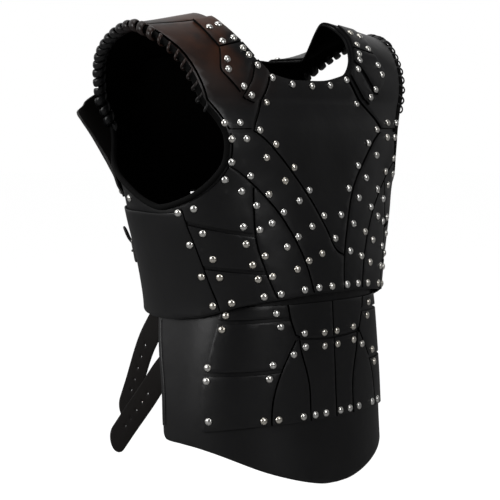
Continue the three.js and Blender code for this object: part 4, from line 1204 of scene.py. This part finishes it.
def strap(name, rows, outward_way, width, holes):
    curve, length = through(rows)
    tip = [
        (length - width / 2 + math.cos(a) * width / 2, math.sin(a) * width / 2) for a in np.linspace(-1.57, 1.57, 19)
    ]
    outline = joined([(0, -width / 2)], tip, [(0, width / 2)])
    punched = [circle(length - LAST_HOLE - i * HOLE_STEP, 0, STRAP_HOLE / 2) for i in range(holes)]
    flat, faces = cut_sheet(outline, punched, (), STRAP_PACE)
    along = unit(np.gradient(curve, axis=0))
    across = unit(np.cross(np.array(outward_way, float), along))
    normal = np.cross(along, across)
    numbers = np.arange(len(curve))
    at = np.clip(flat[:, 0] / length * numbers[-1], 0, numbers[-1])
    crown = STRAP_CROWN * (1 - (2 * flat[:, 1] / width) ** 2)
    points = sample(curve, numbers, at) + sample(across, numbers, at) * flat[:, 1:]
    points = points + sample(normal, numbers, at) * (STRAP_THICK / 2 - STRAP_CROWN + crown)[:, None]
    points, faces = trimmed(points * MM, faces)
    obj = new_object(f"{name}_leather", points, faces.tolist(), STRAP_LEATHER)
    thicken(obj, STRAP_THICK - STRAP_PRESS, STRAP_EDGE)
    place(obj, "black_leather", name)
    print(name, round(float(length)), "mm long,", len(obj.data.polygons), "faces")


# %% Loose straps
# Columns: out as a share of the half hip, behind as a share of the hip's back depth, and down
LOOSE_UPPER = [
    (0.826, 0.197, 0.583), (0.8505, 0.352, 0.641), (0.867, 0.533, 0.702), (0.852, 0.77, 0.803), (0.821, 0.975, 0.876),
]
LOOSE_LOWER = [
    (0.9235, 0.033, 0.721), (0.945, 0.197, 0.759), (0.94, 0.402, 0.807), (0.92, 0.73, 0.876), (0.889, 1.041, 0.94),
]
HALF_HIP, _, HIP_BACK = LOWER_FORM["size"]
for name, rows in (("loose_strap_upper", LOOSE_UPPER), ("loose_strap_lower", LOOSE_LOWER)):
    path = [(-wide * HALF_HIP, behind * HIP_BACK, -down * LOWER_DROP) for wide, behind, down in rows]
    strap(name, path, (-1, 0.12, 0), STRAP_WIDTH, HOLE_COUNT)

# %% Back strap and its free end
BACK_STRAP_HEIGHT = -0.773 * UPPER_DROP
BACK_STRAP_WIDTH, BACK_STRAP_START, BACK_STRAP_END, BACK_BUCKLE_TURN = 22, 134, 228, 221
strap_face = 2 * LAYER_GAP + PLATE_THICK + STRAP_THICK
band_sheet = cut_sheet(box_ring(
    BACK_STRAP_START * MM_PER_DEGREE, BACK_STRAP_END * MM_PER_DEGREE,
    BACK_STRAP_HEIGHT - BACK_STRAP_WIDTH / 2, BACK_STRAP_HEIGHT + BACK_STRAP_WIDTH / 2,
), (), (), STRAP_PACE)
leather("back_strap_leather", [band_sheet], UPPER_FORM, strap_face, STRAP_THICK, (), "back_strap", STRAP_LEATHER)
root = surface(UPPER_FORM, [BACK_BUCKLE_TURN - 362], [BACK_STRAP_HEIGHT + 5])[0]
STRAP_END = [(-9.2, 9.2, 0), (-13, 14, 8), (-18, 19, 24)]
strap("back_strap_end", root + np.array(STRAP_END), (-0.7, 0.7, 0), BACK_STRAP_WIDTH, 0)

# %% [markdown]
# The buckles are plain frames with round corners. Each has a tongue, a thin bar across its opening.

# %% Buckles
BUCKLE_LENGTH, BUCKLE_HEIGHT, BUCKLE_WIRE, TONGUE_RADIUS, TONGUE_LIFT = 30, 32, 5, 1.6, 0.4


def rounded(x, y, half_wide, half_tall, corner):
    ring = []
    for k, (sx, sy) in enumerate(((1, 1), (-1, 1), (-1, -1), (1, -1))):
        for a in np.linspace(0, math.pi / 2, 7) + k * math.pi / 2:
            across, up = corner * math.cos(a), corner * math.sin(a)
            ring.append((x + sx * (half_wide - corner) + across, y + sy * (half_tall - corner) + up))
    return np.array(ring)


def buckle(name, form, turn, height, tall, out, metal):
    x, wide = turn * MM_PER_DEGREE, BUCKLE_LENGTH / 2
    outer = rounded(x, height, wide, tall / 2, 6)
    hole = rounded(x, height, wide - BUCKLE_WIRE, tall / 2 - BUCKLE_WIRE, 3)
    obj = leather(f"{name}_frame", [cut_sheet(outer, [hole], (), 3)], form, out + PLATE_THICK, PLATE_THICK, (), name,
                  (metal, metal, metal), "nickel")
    reach = np.linspace(-wide + 2, wide - 1, 12)
    spots = np.stack([x + reach, np.full(12, float(height))], -1)
    path = lay(form, spots, out + PLATE_THICK + TONGUE_LIFT)
    up = unit(lay(form, spots, out + 8) - path)
    along = unit(np.gradient(path, axis=0))
    radius = TONGUE_RADIUS * MM
    swept(f"{name}_tongue", path, up, unit(np.cross(along, up)), radius, radius, metal, "nickel", loop=False)
    print(name, len(obj.data.polygons), "faces")


back_face = strap_face + LAYER_GAP
buckle("back_buckle", UPPER_FORM, BACK_BUCKLE_TURN, BACK_STRAP_HEIGHT, BUCKLE_HEIGHT, back_face, dark_metal)
for name, turn, down in (("side_buckle_upper", 96, 0.676), ("side_buckle_lower", 90, 0.779)):
    buckle(name, LOWER_FORM, turn, -down * LOWER_DROP, STRAP_WIDTH + 2 * BUCKLE_WIRE + 2, LAYER_GAP, nickel)
